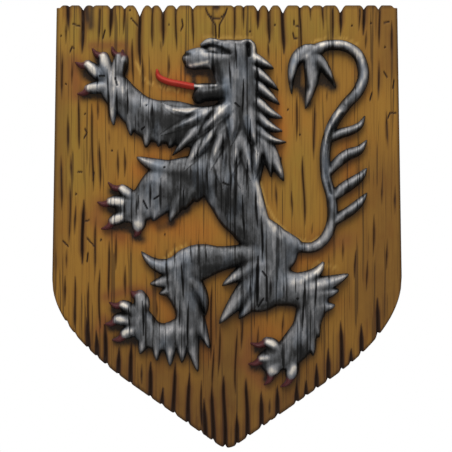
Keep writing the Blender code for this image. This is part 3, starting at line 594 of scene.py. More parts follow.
class Relief:
    """Heights over the field, in drawing units, on a grid of places."""

    def __init__(self, u_axis, v_axis):
        self.u_axis, self.v_axis = u_axis, v_axis
        self.u, self.v = np.meshgrid(u_axis, v_axis, indexing="ij")
        self.height = np.full(self.u.shape, NO_FORM)

    def window(self, path, margin=14):
        """The part of the grid that a path can reach."""
        reach = path[:, 2].max() + margin
        low = path[:, :2].min(axis=0) - reach
        high = path[:, :2].max(axis=0) + reach
        return (slice(*np.searchsorted(self.u_axis, (low[0], high[0]))),
                slice(*np.searchsorted(self.v_axis, (low[1], high[1]))))

    def raise_form(self, path, shoulder, roundness, fillet):
        """A rounded form with steep sides, blended into what is there."""
        part = self.window(path)
        distance, width, rise = nearest(path, self.u[part], self.v[part])
        share = np.minimum(distance / width, 1)
        crown = rise * (shoulder + (1 - shoulder) * (1 - share ** roundness))
        form = np.minimum(crown, WALL_SLOPE * (width - distance))
        there = self.height[part]
        joined = np.maximum(there, form)
        if fillet:
            joined += np.maximum(fillet - np.abs(there - form), 0) ** 2 / (4 * fillet)
        self.height[part] = joined

    def sink(self, path, depth):
        """A hollow with a round floor."""
        part = self.window(path)
        distance, width, _ = nearest(path, self.u[part], self.v[part])
        self.height[part] -= depth * np.clip(PIT_FLOOR - (distance / width) ** 2, 0, 1)


def model_lion(relief):
    """Raise the lion: flesh first, then tail, toes, tufts, mane and face."""
    for points in BODY.values():
        relief.raise_form(smooth_curve(points), *FLESH)
    relief.raise_form(smooth_curve(TAIL), *TAIL_FORM)
    for points in TAIL_STRANDS:
        relief.raise_form(smooth_curve(points), *STRAND)
    for toe_values in TOES:
        toe, claw = toe_and_claw(*toe_values)
        relief.raise_form(toe, *TOE)
        relief.raise_form(claw, *CLAW)
    for tuft_values in LEG_TUFTS:
        relief.raise_form(tuft(*tuft_values), *TUFT)
    for lock_values in NAPE_LOCKS + CHEST_LOCKS + BRUSH_LOCKS:
        relief.raise_form(lock(*lock_values), *LOCK)
    relief.raise_form(smooth_curve(TONGUE), *RIBBON)
    for points in FACE_RIDGES:
        relief.raise_form(smooth_curve(points), *RIDGE)
    for points, depth in FACE_HOLLOWS:
        relief.sink(smooth_curve(points), depth)
    relief.raise_form(smooth_curve(EYE), *EYEBALL)


def sampled(field, u, v):
    """The raster's value at places, read between its cells."""
    across = np.clip((u - FIGURE_LEFT) / RASTER, 0, field.shape[0] - 1.001)
    up = np.clip((v - FIGURE_LOW) / RASTER, 0, field.shape[1] - 1.001)
    i, j = across.astype(int), up.astype(int)
    s, t = across - i, up - j
    return ((field[i, j] * (1 - s) + field[i + 1, j] * s) * (1 - t)
            + (field[i, j + 1] * (1 - s) + field[i + 1, j + 1] * s) * t)


def blurred(field, reach):
    """The field with a soft blur of that reach in pixels."""
    spread = reach / RASTER
    offsets = np.arange(-int(3 * spread), int(3 * spread) + 1)
    weights = np.exp(-0.5 * (offsets / spread) ** 2)
    weights /= weights.sum()
    for axis in (0, 1):
        pad = [(0, 0), (0, 0)]
        pad[axis] = (len(offsets) // 2, len(offsets) // 2)
        wide = np.pad(field, pad, mode="edge")
        count = field.shape[axis]
        field = sum(weight * np.take(wide, np.arange(step, step + count), axis)
                    for step, weight in enumerate(weights))
    return field


relief = Relief(np.arange(FIGURE_LEFT, FIGURE_RIGHT, RASTER), np.arange(FIGURE_LOW, FIGURE_TOP, RASTER))
model_lion(relief)
relief.sink(smooth_curve(TAIL_PARTING), PARTING_DEPTH)
figure = blurred(relief.height, MOULD_BLUR)
rise_unit = LION_RELIEF / figure.max()


def lion_rise(x, z):
    """Height of the lion over the boards at a place, in metres, dying out before the rim."""
    u = across_of(x) - DRAWING_LEFT
    v = DRAWING_LOW - down_of(z)
    rise = rise_unit * sampled(figure, u, v)
    return np.minimum(rise, WALL_SLOPE * (edge_distance(x, z) - RIM_MARGIN))


u_axis = np.linspace(FIGURE_LEFT, FIGURE_RIGHT, int((FIGURE_RIGHT - FIGURE_LEFT) / LION_CELL))
v_axis = np.linspace(FIGURE_LOW, FIGURE_TOP, int((FIGURE_TOP - FIGURE_LOW) / LION_CELL))
lion_sheet = bmesh.new()
bmesh.ops.create_grid(lion_sheet, x_segments=len(u_axis) - 1, y_segments=len(v_axis) - 1, size=1)
column, row = grid_places(lion_sheet, len(u_axis), len(v_axis))
x = (u_axis[column] + DRAWING_LEFT - MIDDLE_X) * PIXEL
z = (MIDDLE_Y - DRAWING_LOW + v_axis[row]) * PIXEL
rise = lion_rise(x, z)
grooves = PIXEL * groove_depth(across_of(x), down_of(z), FIGURE_GROOVE_SHARE)
for start, end in TAIL_NICKS:
    away = distance_to_line(across_of(x), down_of(z), start, end)
    grooves = np.maximum(grooves, PIXEL * NICK_DEPTH * np.clip(1 - away / NICK_HALF, 0, 1))
grooves *= np.clip(rise / FULL_GROOVE_RISE, 0, 1)
front = BOARD_THICKNESS + np.maximum(rise - grooves, -LION_ROOT)
for vert, place in zip(lion_sheet.verts, zip(x, -front, z)):
    vert.co = place
sunk = [face for face in lion_sheet.faces
        if all(-vert.co.y < BOARD_THICKNESS - SUNK_SHARE * LION_ROOT for vert in face.verts)]
bmesh.ops.delete(lion_sheet, geom=sunk, context="FACES")
pinched = True
while pinched:
    pinched = [vert for vert in lion_sheet.verts
               if sum(edge.is_boundary for edge in vert.link_edges) > 2]
    hanging = {face for vert in pinched for face in vert.link_faces}
    bmesh.ops.delete(lion_sheet, geom=list(hanging), context="FACES")
bmesh.ops.recalc_face_normals(lion_sheet, faces=lion_sheet.faces)
grown = bmesh.ops.extrude_face_region(lion_sheet, geom=lion_sheet.faces[:], use_keep_orig=True)["geom"]
for vert in (item for item in grown if isinstance(item, bmesh.types.BMVert)):
    vert.co.y = -(BOARD_THICKNESS - LION_ROOT - ROOT_FLOOR)
lion = finished(lion_sheet, "lion")


# The casting joins boards and lion into one body, as the mould does. Where the lion's walls
# meet the boards the edge is crisp, and the rest is smooth.
CRISP_ANGLE = math.radians(50)

lion_form = bpy.data.objects.new("lion_form", lion)
casting = bpy.data.objects.new("casting", boards)
for item in (lion_form, casting):
    bpy.context.scene.collection.objects.link(item)
join = casting.modifiers.new("Lion", "BOOLEAN")
join.operation = "UNION"
join.object = lion_form
evaluated = casting.evaluated_get(bpy.context.evaluated_depsgraph_get())
joined = bpy.data.meshes.new_from_object(evaluated)
bpy.data.objects.remove(lion_form)
casting.modifiers.clear()
casting.data = joined
casting.name = "shield_casting"
joined.shade_smooth()
joined.set_sharp_from_angle(angle=CRISP_ANGLE)


# The paint: ochre on the boards, pewter grey on the lion, a near-black wash with painted shade in every
# hollow, and dry-brushed lights with painted highlights on what stands up. Each layer is a mask worked out at
# the casting's corners from the modelled relief, and brush strokes put painted highlights and painted shadows
# where light and shade fell on the plaque.

# A stroke is its strength, its reach in pixels and the places that it runs through.
# Painted highlights on the lion: the dry brush's lights together with the light from above.
HIGHLIGHT_STROKES = [
    (0.6, 1.3, [(209, 66), (213, 74), (217, 83)]), (0.6, 1.3, [(195, 86.5), (216, 85.5)]),
    (0.75, 2.2, [(210, 49.8), (213.5, 50.2)]), (0.5, 1.8, [(190, 66.5), (200, 65), (208, 63)]),
    (0.3, 4, [(222, 43), (240, 43)]), (0.3, 2.5, [(203, 54), (216, 57), (228, 58)]),
    (0.3, 1.6, [(339, 112), (328, 130), (323, 152), (323, 176), (328, 196)]),
    (0.3, 2, [(362, 62), (364, 78), (356, 92)]), (0.35, 3, [(110, 215), (121, 218)]),
    (0.45, 3, [(86, 62), (97, 76)]), (0.4, 3, [(102, 54), (106, 66)]), (0.5, 3.5, [(86, 88), (98, 87)]),
    (0.38, 6, [(110, 60), (112, 78), (124, 92)]), (0.3, 2.5, [(124, 53), (125, 60)]),
    (0.28, 6, [(98, 84), (124, 96), (150, 107)]), (0.15, 5, [(113, 100), (113, 122)]),
    (0.5, 3, [(109, 201), (122, 203)]), (0.35, 2.5, [(122, 186), (128, 192)]),
    (0.5, 3, [(113, 221), (121, 218)]), (0.3, 4, [(133, 222), (141, 226)]),
    (0.4, 2.2, [(121, 303), (127, 306)]), (0.4, 2.4, [(118, 318), (129, 321)]),
    (0.35, 2.4, [(124, 332), (131, 330)]), (0.3, 2.4, [(146, 301), (150, 306)]),
    (0.4, 2.4, [(267, 341), (274, 344)]), (0.4, 2.4, [(260, 358), (266, 357)]),
    (0.3, 3.5, [(270, 369), (277, 372)]), (0.4, 2.4, [(290, 372), (294, 366)]),
    (0.35, 4, [(257, 184), (260, 203), (268, 222), (280, 236)]), (0.2, 6, [(279, 225), (292, 240)]),
    (0.3, 3, [(204, 43), (217, 41)]), (0.4, 3, [(187, 46), (202, 47), (206, 57)]),
    (0.35, 2.2, [(192, 67), (208, 64)]), (0.4, 1.8, [(243, 42), (250, 42), (254, 48), (254, 62)]),
    (0.25, 6, [(230, 45), (242, 50), (232, 75)]), (0.3, 5, [(228, 80), (226, 100), (222, 112)]),
    (0.3, 3, [(200, 108), (170, 112), (167, 109)]), (0.3, 4, [(292, 74), (298, 62), (306, 56)]),
    (0.3, 3, [(322, 46), (345, 45), (358, 56)]), (0.25, 3, [(326, 125), (325, 160), (327, 180)]),
    (0.3, 4, [(317, 272), (323, 268)]), (0.2, 9, [(292, 282), (318, 286)]),
    (0.15, 8, [(207, 250), (175, 250)]), (0.2, 5, [(238, 220), (246, 228)]),
    (0.2, 4, [(168, 330), (176, 328), (190, 330)]), (0.25, 4, [(172, 350), (190, 352)]),
    (0.12, 8, [(165, 180), (155, 200), (140, 215)]), (0.1, 12, [(270, 272), (298, 284)]),
    (0.1, 7, [(308, 305), (302, 335)]),
]
# Painted shade on the lion: under its forms, in its hollows and on the sides away from the light, with a few
# dark lines of the face.
SHADE_STROKES = [
    (0.5, 1.4, [(342, 114), (331, 132), (326.5, 154), (326.5, 174), (331, 194)]),
    (0.5, 1.6, [(202, 47.5), (210, 46.5), (218, 47.5), (229, 53)]), (0.45, 1.5, [(205, 53), (217, 54.5)]),
    (0.3, 3, [(292, 82), (303, 72), (306, 84)]), (0.35, 3.5, [(344, 138), (358, 131)]),
    (0.35, 3.5, [(344, 161), (360, 154)]), (0.35, 3.5, [(346, 191), (360, 182)]),
    (0.35, 3.5, [(346, 216), (360, 207)]), (0.35, 8, [(176, 176), (196, 178), (206, 196)]),
    (0.3, 9, [(226, 46), (244, 48), (240, 62)]), (0.22, 6, [(326, 120), (325, 175), (331, 215)]),
    (0.25, 6, [(345, 105), (358, 85), (362, 68)]), (0.2, 10, [(196, 258), (220, 260)]),
    (0.16, 9, [(120, 100), (140, 110)]), (0.16, 9, [(140, 185), (170, 195)]),
    (0.22, 5, [(330, 48), (350, 50)]), (0.3, 4, [(218, 66), (222, 84)]),
    (0.3, 12, [(155, 118), (178, 122), (176, 140)]), (0.25, 13, [(222, 190), (238, 215), (244, 232)]),
    (0.6, 6.5, [(196, 97), (212, 98), (222, 93)]), (0.4, 7, [(200, 76), (206, 80)]),
    (0.25, 7, [(186, 205), (205, 190)]), (0.3, 8, [(206, 270), (240, 262)]),
    (0.2, 10, [(200, 290), (204, 310)]), (0.3, 8, [(268, 308), (292, 306)]),
    (0.45, 4, [(298, 78), (306, 88)]), (0.45, 4, [(321, 76), (331, 82)]),
    (0.3, 5, [(104, 78), (93, 84)]), (0.4, 5, [(108, 212), (118, 211)]),
    (0.4, 5, [(112, 312), (124, 311)]), (0.45, 6, [(258, 350), (266, 351)]),
    (0.5, 6, [(252, 366), (260, 366)]), (0.4, 7, [(300, 350), (305, 356)]),
    (0.4, 2.2, [(184, 55), (189, 55)]), (0.4, 2, [(248, 47), (248.5, 56)]),
    (0.4, 4, [(298, 66), (302, 78)]), (0.35, 4, [(316, 66), (322, 74)]),
    (0.3, 3, [(204, 51), (216, 54), (228, 53)]), (0.2, 6, [(284, 240), (300, 248)]),
]
# Painted shade on the boards, with their dark wash: inside the mouth, under the jaw and between the toes.
HOLLOW_SHADE_STROKES = [
    (0.9, 3, [(86, 7), (88, 20)]), (0.8, 2.5, [(92, 7), (91, 27)]), (0.5, 3, [(112, 7), (112, 20)]),
    (1.0, 5.5, [(190, 72), (208, 71), (212, 77), (215, 84)]), (0.9, 4, [(193, 72), (194, 83)]),
    (0.5, 4, [(203, 79), (206, 81)]), (0.95, 5, [(222, 100), (214, 105), (200, 107)]),
    (0.95, 4.5, [(112, 211), (124, 212)]),
    (0.8, 4, [(112, 192), (122, 197)]), (0.9, 4, [(116, 226), (132, 231)]),
    (0.8, 4, [(134, 237), (143, 240)]), (0.9, 5, [(86, 76), (96, 79)]), (0.8, 3.5, [(99, 56), (102, 74)]),
    (0.8, 4, [(124, 58), (125, 70)]), (0.9, 4, [(86, 95), (107, 96)]), (0.9, 4.5, [(115, 310), (127, 311)]),
    (0.9, 4.5, [(112, 327), (128, 328)]), (0.8, 4, [(116, 340), (137, 342)]),
    (0.9, 4, [(257, 350), (268, 351)]), (0.9, 4, [(253, 366), (262, 367)]),
    (0.8, 4, [(266, 379), (272, 374)]), (1.0, 5, [(297, 74), (298, 86), (303, 93)]),
    (1.0, 6, [(320, 76), (325, 83), (332, 86)]), (0.7, 4, [(303, 96), (308, 104)]),
    (0.7, 5, [(160, 228), (172, 224)]), (0.7, 5, [(175, 214), (186, 210)]),
]
# Painted highlight: light ochre on the boards just above the lion's upper edges.
GLEAM_STROKES = [
    (0.8, 1.3, [(143, 253), (147, 259), (155, 261.5), (164, 260), (176, 249), (186, 246)]),
    (0.7, 1.3, [(261, 184), (266, 204), (275, 220), (290, 235), (302, 241), (312, 242), (322, 236)]),
    (0.6, 1.2, [(136, 62), (143, 78), (152, 84), (172, 90), (190, 94)]),
    (0.6, 1.2, [(312, 42), (328, 38), (346, 39), (358, 45)]), (0.5, 1.2, [(204, 38), (230, 38), (252, 38)]),
    (0.5, 1.2, [(312, 268), (318, 262), (324, 266), (338, 268)]),
]
BLUE_STROKES = [
    (0.7, 6, [(225, 82), (228, 112)]), (0.6, 4, [(230, 122), (232, 135)]), (0.6, 4, [(246, 118), (249, 132)]),
    (0.6, 4, [(203, 43), (210, 41)]), (0.6, 5, [(184, 48), (192, 52)]), (0.5, 5, [(292, 62), (287, 80)]),
    (0.5, 5, [(325, 118), (322, 150), (325, 200)]), (0.4, 9, [(144, 190), (160, 166)]),
    (0.4, 9, [(190, 246), (150, 262)]), (0.4, 8, [(100, 75), (92, 90)]), (0.4, 9, [(246, 286), (240, 310)]),
]
WARM_STROKES = [
    (0.8, 16, [(140, 220), (165, 225), (200, 232)]), (0.7, 12, [(200, 68), (170, 84), (185, 92)]),
    (0.8, 12, [(140, 170), (150, 160)]), (0.8, 9, [(274, 100), (280, 130), (278, 150)]),
    (0.7, 10, [(295, 262), (312, 258)]), (0.8, 10, [(200, 300), (207, 335), (210, 355)]),
    (0.7, 9, [(345, 140), (350, 190)]), (0.6, 14, [(255, 325), (278, 335)]),
    (0.6, 10, [(160, 300), (172, 320)]), (0.6, 12, [(118, 235), (150, 245)]),
    (0.5, 12, [(180, 150), (150, 145)]),
]
RUSSET_STROKES = [
    (0.8, 7, [(74, 62), (76, 95)]), (0.8, 5, [(92, 46), (125, 45), (128, 55)]),
    (0.7, 9, [(100, 205), (96, 220), (120, 236)]), (0.8, 6, [(106, 297), (130, 290), (150, 293)]),
    (0.8, 6, [(104, 320), (100, 330)]), (0.7, 9, [(252, 342), (246, 362), (262, 382)]),
    (0.6, 10, [(318, 246), (345, 240)]),
]
BROWN_STROKES = [
    (0.5, 26, [(390, 10), (395, 60)]), (0.5, 34, [(385, 180), (380, 300)]),
    (0.4, 40, [(120, 370), (200, 420), (230, 440)]), (0.4, 34, [(330, 380), (270, 420)]),
    (0.5, 12, [(57, 60), (52, 260)]), (0.9, 6, [(86, 8), (90, 25)]), (0.45, 30, [(222, 330), (222, 400)]),
]
OLIVE_STROKES = [
    (0.8, 26, [(80, 30), (250, 30), (330, 30)]), (0.6, 20, [(70, 120), (75, 180)]),
    (0.5, 22, [(300, 200), (300, 160)]), (0.4, 20, [(230, 400), (225, 360)]),
]

# Painted light and shade that follow the relief. Blurs, drops and rises are in pixels.
FORM_BLUR, BROAD_BLUR, COVER_BLUR, WIDE_COVER_BLUR = 1.2, 4.5, 3.5, 9
BASE_TONE, TOP_LIGHT, SIDE_LIGHT, STANDING_LIGHT = 0.43, 0.13, 0.04, 0.085
TOP_CONTRAST, NAPE_CONTRAST = 0.9, 1.5
FOOT_SHADE, FOOT_RISE = 0.30, 6
NAPE_LIGHT, NAPE_LIFT = 0.17, 0.02
LOCK_LIGHT, LOCK_SHADE, LOCK_SIDE, LOCK_REACH = 0.14, 0.26, 0.75, 1.4
SIDE_FALL, REACH_FALL = 4, 3
ROOT_CLEAR, ROOT_FADE = 5, 9
TONGUE_ENDS_AT = 194
SHADOW_DROP, SHADOW_SHARE, SHADOW_LEVEL = 3.5, 1.15, 0.08
WARM_DROP, WARM_SHARE = 2, 0.4

# The nape's region in the drawing: across, up, half width.
NAPE = [(66, 345, 15), (70, 300, 18), (72, 225, 20)]

# The field browns downwards. Each groove's paint spreads past it, its cracks and streaks darken towards the
# lower edge, and painted shade runs along the rounded rim.
BROWNING, BROWNING_FROM, BROWNED_BY = 0.32, 225, 400
STAIN_SPREAD, CRACK_SPREAD, PAINTED_GROOVE_SHARE = 3.0, 1.5, 1.15
FULL_STAIN, FULL_CRACK, FULL_PAINT = 1.1, 1.2, 0.8
LOWER_DARKENING_HEIGHT, RIM_WIDTH = 0.06, 0.005

# What rises this far over the boards, within the lion's drawing, is painted as lion.
SILVER_RISE, SILVER_MARGIN = 0.0004, 0.001


def brushed(strokes, x, y):
    """The strongest of the soft strokes at each place in pixels."""
    mask = np.zeros_like(x)
    for strength, reach, places in strokes:
        away = np.full_like(x, 1e9)
        for start, end in zip(places[:-1], places[1:]):
            away = np.minimum(away, distance_to_line(x, y, start, end))
        mask = np.maximum(mask, strength * np.exp(-(away / reach) ** 2))
    return mask


def path_mask(path, x, y, soft):
    """One inside a tapering path of the drawing, fading out over a soft edge in pixels."""
    distance, width, _ = nearest(path, x - DRAWING_LEFT, DRAWING_LOW - y)
    return np.clip((width - distance) / soft + 0.5, 0, 1)


def places_of(items, key):
    """Places of the casting's corners or faces."""
    places = np.zeros(len(items) * 3)
    items.foreach_get(key, places)
    return places.reshape(-1, 3)


def store(masks, domain):
    """Keep masks on the casting, where the paint reads them."""
    for name, values in masks.items():
        layer = joined.attributes.new(name, "FLOAT", domain)
        layer.data.foreach_set("value", np.clip(values, 0, 1).astype(np.float32))


corners = places_of(joined.vertices, "co")
x_photo, y_photo = across_of(corners[:, 0]), down_of(corners[:, 2])
u, v = x_photo - DRAWING_LEFT, DRAWING_LOW - y_photo
on_figure = (u > FIGURE_LEFT) & (u < FIGURE_RIGHT) & (v > FIGURE_LOW) & (v < FIGURE_TOP)
body_height = np.maximum(figure, 0)
form = blurred(body_height, FORM_BLUR)
broad = blurred(body_height, BROAD_BLUR)
slope_u, slope_v = np.gradient(form, RASTER)
cover = blurred((figure > 0).astype(float), COVER_BLUR)
wide_cover = blurred((figure > 0).astype(float), WIDE_COVER_BLUR)
from_above = sampled(-slope_v, u, v)
from_left = sampled(slope_u, u, v)
standing = sampled(form - broad, u, v)
paint_depth = groove_depth(x_photo, y_photo, PAINTED_GROOVE_SHARE)
lowering = BROWNING * np.clip((y_photo - BROWNING_FROM) / (BROWNED_BY - BROWNING_FROM), 0, 1)
near_lion = sampled(cover, u, v + SHADOW_DROP) * on_figure
around_lion = sampled(wide_cover, u, v + WARM_DROP) * on_figure

# The lion's grey with its painted light and shade: lit from above and a little from the left, lighter where
# forms stand up, painted highlights and shade from the strokes, and shaded where it meets the boards.
lit_tone = BASE_TONE + TOP_LIGHT * np.tanh(from_above * TOP_CONTRAST)
lit_tone += SIDE_LIGHT * np.tanh(from_left)
lit_tone += STANDING_LIGHT * standing
lit_tone += brushed(HIGHLIGHT_STROKES, x_photo, y_photo) - brushed(SHADE_STROKES, x_photo, y_photo)
lit_tone -= FOOT_SHADE * np.clip(1 - sampled(body_height, u, v) / FOOT_RISE, 0, 1)
tongue_mask = path_mask(smooth_curve(TONGUE), x_photo, y_photo, soft=1.2)
tongue_mask *= x_photo < TONGUE_ENDS_AT
nape = path_mask(np.array(NAPE), x_photo, y_photo, soft=6)
lit_tone += nape * (NAPE_LIGHT * np.tanh(from_above * NAPE_CONTRAST) + NAPE_LIFT)
# Painted light and shade of the chest's locks: a lit middle and shaded sides.
leaf = np.zeros_like(lit_tone)
for lock_values in CHEST_LOCKS:
    distance, width, _ = nearest(lock(*lock_values), u, v)
    share = distance / width
    from_root = np.hypot(u - lock_values[0][0], v - lock_values[0][1])
    near = np.clip((LOCK_REACH - share) * REACH_FALL, 0, 1)
    near *= np.clip((from_root - ROOT_CLEAR) / ROOT_FADE, 0, 1)
    shade = LOCK_LIGHT * np.clip(1 - share ** 2, 0, 1)
    shade -= LOCK_SHADE * np.clip((share - LOCK_SIDE) * SIDE_FALL, 0, 1)
    leaf = leaf * (1 - near) + shade * near
lit_tone += leaf
claw_mask = np.zeros_like(lit_tone)
for toe_values in TOES:
    toe, claw = toe_and_claw(*toe_values)
    claw_mask = np.maximum(claw_mask, path_mask(claw, x_photo, y_photo, soft=2.0))
    claw_mask *= 1 - path_mask(toe[:-3], x_photo, y_photo, soft=2.5)
# The boards darken towards the lower edge, in their cracks and streaks.
lower_darkening = np.clip(1 - (corners[:, 2] - lower_edge(corners[:, 0])) / LOWER_DARKENING_HEIGHT, 0, 1)
stain = groove_depth(x_photo, y_photo, STAIN_SPREAD) / FULL_STAIN
crack = groove_depth(x_photo, y_photo, CRACK_SPREAD) / FULL_CRACK
# Painted shadow that the lion casts down onto the boards, and painted shade in the hollows.
shadow = SHADOW_SHARE * near_lion - SHADOW_LEVEL + brushed(HOLLOW_SHADE_STROKES, x_photo, y_photo)
store({
    "lit_tone": lit_tone,
    "groove": paint_depth / FULL_PAINT,
    "stain": stain,
    "shadow": shadow,
    "warm": brushed(WARM_STROKES, x_photo, y_photo) + WARM_SHARE * around_lion,
    "gleam": brushed(GLEAM_STROKES, x_photo, y_photo),
    "blue": brushed(BLUE_STROKES, x_photo, y_photo),
    "russet": brushed(RUSSET_STROKES, x_photo, y_photo),
    "brown": brushed(BROWN_STROKES, x_photo, y_photo) + lowering,
    "olive": brushed(OLIVE_STROKES, x_photo, y_photo),
    "tongue": tongue_mask,
    "claw": claw_mask,
    "rim": 1 - edge_distance(corners[:, 0], corners[:, 2]) / RIM_WIDTH,
    "lower_darkening": lower_darkening,
    "crack": lower_darkening * np.clip(crack, 0, 1),
}, "POINT")

centres = places_of(joined.polygons, "center")
x_face, y_face = across_of(centres[:, 0]), down_of(centres[:, 2])
over_boards = -centres[:, 1] - (BOARD_THICKNESS - PIXEL * groove_depth(x_face, y_face))
silver = (over_boards > SILVER_RISE) & (lion_rise(centres[:, 0], centres[:, 2]) > -SILVER_MARGIN)
store({"silver": silver, "back": centres[:, 1] > -EDGE_ROUND}, "FACE")


class Socket:
    """A shader socket that can be used in expressions."""

    def __init__(self, tree, output):
        self.tree, self.output = tree, output

    def math(self, operation, first, second):
        node = self.tree.nodes.new("ShaderNodeMath")
        node.operation = operation
        for place, value in enumerate((first, second)):
            if isinstance(value, Socket):
                self.tree.links.new(value.output, node.inputs[place])
            else:
                node.inputs[place].default_value = value
        return Socket(self.tree, node.outputs[0])

    def __add__(self, other):
        return self.math("ADD", self, other)

    def __radd__(self, other):
        return self.math("ADD", other, self)

    def __sub__(self, other):
        return self.math("SUBTRACT", self, other)

    def __rsub__(self, other):
        return self.math("SUBTRACT", other, self)

    def __mul__(self, other):
        return self.math("MULTIPLY", self, other)

    def __rmul__(self, other):
        return self.math("MULTIPLY", other, self)

    def clamped(self):
        return self.math("MAXIMUM", self.math("MINIMUM", self, 1.0), 0.0)

    def past(self, level, contrast):
        """How far the value stands past a level, from 0 to 1."""
        return ((self - level) * contrast).clamped()


class PaintShop:
    """A material's node tree, with one method that adds any node."""

    def __init__(self, name):
        self.material = bpy.data.materials.new(name)
        self.material.use_nodes = True
        self.tree = self.material.node_tree
        self.shader = self.tree.nodes["Principled BSDF"]

    def node(self, kind, settings=(), output=0, stops=(), **values):
        node = self.tree.nodes.new("ShaderNode" + kind)
        for setting, value in dict(settings).items():
            setattr(node, setting, value)
        if stops:
            ramp = node.color_ramp
            while len(ramp.elements) < len(stops):
                ramp.elements.new(1.0)
            for element, (place, color) in zip(ramp.elements, stops):
                element.position = place
                element.color = color
        for key, value in values.items():
            socket = next(item for item in node.inputs
                          if item.enabled and item.name.replace(" ", "_") == key)
            if isinstance(value, Socket):
                self.tree.links.new(value.output, socket)
            else:
                socket.default_value = value
        sockets = [item for item in node.outputs if item.enabled]
        return Socket(self.tree, sockets[output])

    def mask(self, name):
        return self.node("Attribute", {"attribute_name": name}, output=2)

    def over(self, under, upper, mask):
        """One colour laid over another through a mask."""
        return self.node("Mix", {"data_type": "RGBA"}, Factor=mask, A=under, B=upper)

    def grain(self, scale, size, detail=3.0):
        """Noise stretched by the three scales along X, Y and Z."""
        place = self.node("TexCoord", output=3)
        stretched = self.node("Mapping", Vector=place, Scale=scale)
        return self.node("TexNoise", Vector=stretched, Scale=size, Detail=detail)

    def finish(self, **sockets):
        for key, value in sockets.items():
            socket = self.shader.inputs[key.replace("_", " ")]
            if isinstance(value, Socket):
                self.tree.links.new(value.output, socket)
            else:
                socket.default_value = value
        return self.material


def paint_of(red, green, blue):
    """Linear colour of a paint given in display values from 0 to 255."""
    return tuple((value / 255 / 12.92 if value < 11 else ((value / 255 + 0.055) / 1.055) ** 2.4)
                 for value in (red, green, blue)) + (1.0,)


OCHRE, ORANGE, OLIVE = paint_of(146, 105, 38), paint_of(158, 96, 32), paint_of(134, 110, 40)
BROWN, RUSSET, CRACK_AND_SHADE = paint_of(88, 58, 26), paint_of(108, 54, 32), paint_of(38, 22, 12)
TONGUE_RED, CLAW_RED, WASH_AND_SHADE = paint_of(168, 50, 38), paint_of(78, 38, 40), paint_of(26, 20, 16)
STREAK_BROWN, GLAZE_BLUE = paint_of(84, 48, 20), paint_of(98, 112, 128)
HIGHLIGHT_OCHRE = paint_of(206, 164, 84)
# The lion's pewter runs from painted shade through its grey to a cream painted highlight.
SHADED_PEWTER_STOPS = [(0.0, paint_of(12, 12, 12)), (0.25, paint_of(40, 40, 40)),
                (0.5, paint_of(88, 89, 91)), (0.75, paint_of(140, 139, 140)),
                (1.0, paint_of(208, 200, 188))]

paint = PaintShop("painted_resin")
streak = paint.grain((1, 0.1, 0.03), 420, 4.0)
vein = paint.grain((1, 0.04, 0.02), 300, 2.0)
hair_line = vein.past(0.61, 34)
plank = paint.grain((1, 0.1, 0.08), 60, 2.0)
mottle = paint.grain((1, 1, 0.5), 48, 4.0)
speckle = paint.grain((1, 1, 0.5), 900, 2.0)
dabs = paint.grain((1, 1, 0.4), 170, 3.0)


def broken(name, least):
    """A painted mask broken up by the mottling."""
    return (paint.mask(name) * (least + mottle)).clamped()


# The field's coats from the ground up: paint, then where it lies. The near-black coat is a dark wash with
# painted shadow under and round the lion and painted shade in its hollows, the light ochre is a painted
# highlight above its upper edges, and the rim's dark is painted shade.
field = OCHRE
for coat, mask in ((OLIVE, broken("olive", 0.4)),
                   (ORANGE, broken("warm", 0.4)),
                   (ORANGE, mottle.past(0.52, 4) * 0.35),
                   (BROWN, broken("brown", 0.5)),
                   (RUSSET, (paint.mask("russet") * 0.75).clamped()),
                   (STREAK_BROWN, plank.past(0.5, 3) * 0.22),
                   (STREAK_BROWN, streak.past(0.5, 6) * 0.3),
                   (CRACK_AND_SHADE, hair_line * 0.6),
                   (CRACK_AND_SHADE, streak.past(0.5, 4) * paint.mask("lower_darkening") * 0.5),
                   (STREAK_BROWN, paint.mask("stain") * 0.6),
                   (CRACK_AND_SHADE, (paint.mask("crack") * 2.2).clamped()),
                   (WASH_AND_SHADE, (paint.mask("shadow") * (0.75 + 0.5 * speckle)).clamped() * 0.97),
                   (HIGHLIGHT_OCHRE, paint.mask("gleam") * (0.2 + speckle)),
                   (CRACK_AND_SHADE, paint.mask("groove")),
                   (CRACK_AND_SHADE, paint.mask("rim") * 0.85)):
    field = paint.over(field, coat, mask)

# Each noise moves the lion's grey, which carries its painted light and shade: noise, its middle, how far it
# moves the grey.
lit_pewter_tone = paint.mask("lit_tone")
for noise, middle, share in ((streak, 0.5, 0.45), (speckle, 0.5, 0.14),
                             (mottle, 0.5, 0.3), (dabs, 0.46, 0.55)):
    lit_pewter_tone = lit_pewter_tone + (noise - middle) * share
lit_pewter_tone = (lit_pewter_tone - hair_line * 0.3 - paint.mask("groove") * 0.8).clamped()
pewter = paint.node("ValToRGB", stops=SHADED_PEWTER_STOPS, Fac=lit_pewter_tone)
glaze = ((mottle - 0.5) * 2.5 + paint.mask("blue")).clamped()
tongue, claws, silver_mask = paint.mask("tongue"), paint.mask("claw"), paint.mask("silver")
for coat, mask in ((GLAZE_BLUE, glaze * lit_pewter_tone), (TONGUE_RED, tongue), (CLAW_RED, claws)):
    pewter = paint.over(pewter, coat, mask)
color = paint.over(field, pewter, silver_mask)
plain_back = paint.over(BROWN, STREAK_BROWN, mottle)
color = paint.over(color, plain_back, paint.mask("back"))
bump_height = streak * 0.6 + speckle * 0.15 - hair_line * 0.5
bump = paint.node("Bump", Strength=0.5, Distance=0.0006, Height=bump_height)
casting.data.materials.clear()
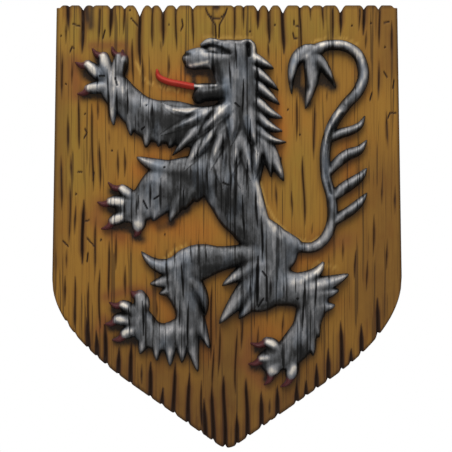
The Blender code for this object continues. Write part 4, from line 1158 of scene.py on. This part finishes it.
casting.data.materials.append(paint.finish(
    Base_Color=color,
    Roughness=0.66 - silver_mask * 0.14 + (mottle - 0.5) * 0.2,
    Metallic=silver_mask * (1 - claws) * (1 - tongue) * 0.15,
    Specular_IOR_Level=0.2,
    Normal=bump))
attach(casting, "root")
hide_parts("shield")


# The studio is a white room with a pale floor well below the plaque, since it hangs. One soft
# lamp stands above and in front of it, and a weaker one fills from the front.
FLOOR_Z = -0.9
FLOOR_RADIUS = 2.0
WALL_LIGHT = 0.45
floor_disc = bmesh.new()
bmesh.ops.create_circle(floor_disc, cap_ends=True, segments=96, radius=FLOOR_RADIUS)
bmesh.ops.translate(floor_disc, verts=floor_disc.verts, vec=(0, 0, FLOOR_Z))
floor = bpy.data.objects.new("floor", finished(floor_disc, "floor"))
bpy.context.scene.collection.objects.link(floor)
floor_paint = PaintShop("pale_floor")
floor.data.materials.append(floor_paint.finish(Base_Color=(0.8, 0.8, 0.79, 1.0), Roughness=0.9))

for name, place, size, power in (("overhead", (-0.35, -1.1, 1.9), 1.0, 34),
                                 ("front_fill", (0.2, -2.4, 0.4), 2.0, 10)):
    light_data = bpy.data.lights.new(name, "AREA")
    light_data.size = size
    light_data.energy = power
    light = bpy.data.objects.new(name, light_data)
    light.location = place
    toward = -light.location.normalized()
    light.rotation_euler = toward.to_track_quat("-Z", "Y").to_euler()
    bpy.context.scene.collection.objects.link(light)

# The white walls are seen at full strength, but they light the plaque less.
world = bpy.data.worlds.new("white_room")
bpy.context.scene.world = world
world.use_nodes = True
nodes, links = world.node_tree.nodes, world.node_tree.links
walls, seen = nodes["Background"], nodes.new("ShaderNodeBackground")
for background, strength in ((walls, WALL_LIGHT), (seen, 1.0)):
    background.inputs["Color"].default_value = (1, 1, 1, 1)
    background.inputs["Strength"].default_value = strength
choice = nodes.new("ShaderNodeMixShader")
links.new(nodes.new("ShaderNodeLightPath").outputs["Is Camera Ray"], choice.inputs[0])
for place, background in enumerate((walls, seen)):
    links.new(background.outputs[0], choice.inputs[place + 1])
links.new(choice.outputs[0], nodes["World Output"].inputs["Surface"])
bpy.context.scene.view_settings.view_transform = "Standard"
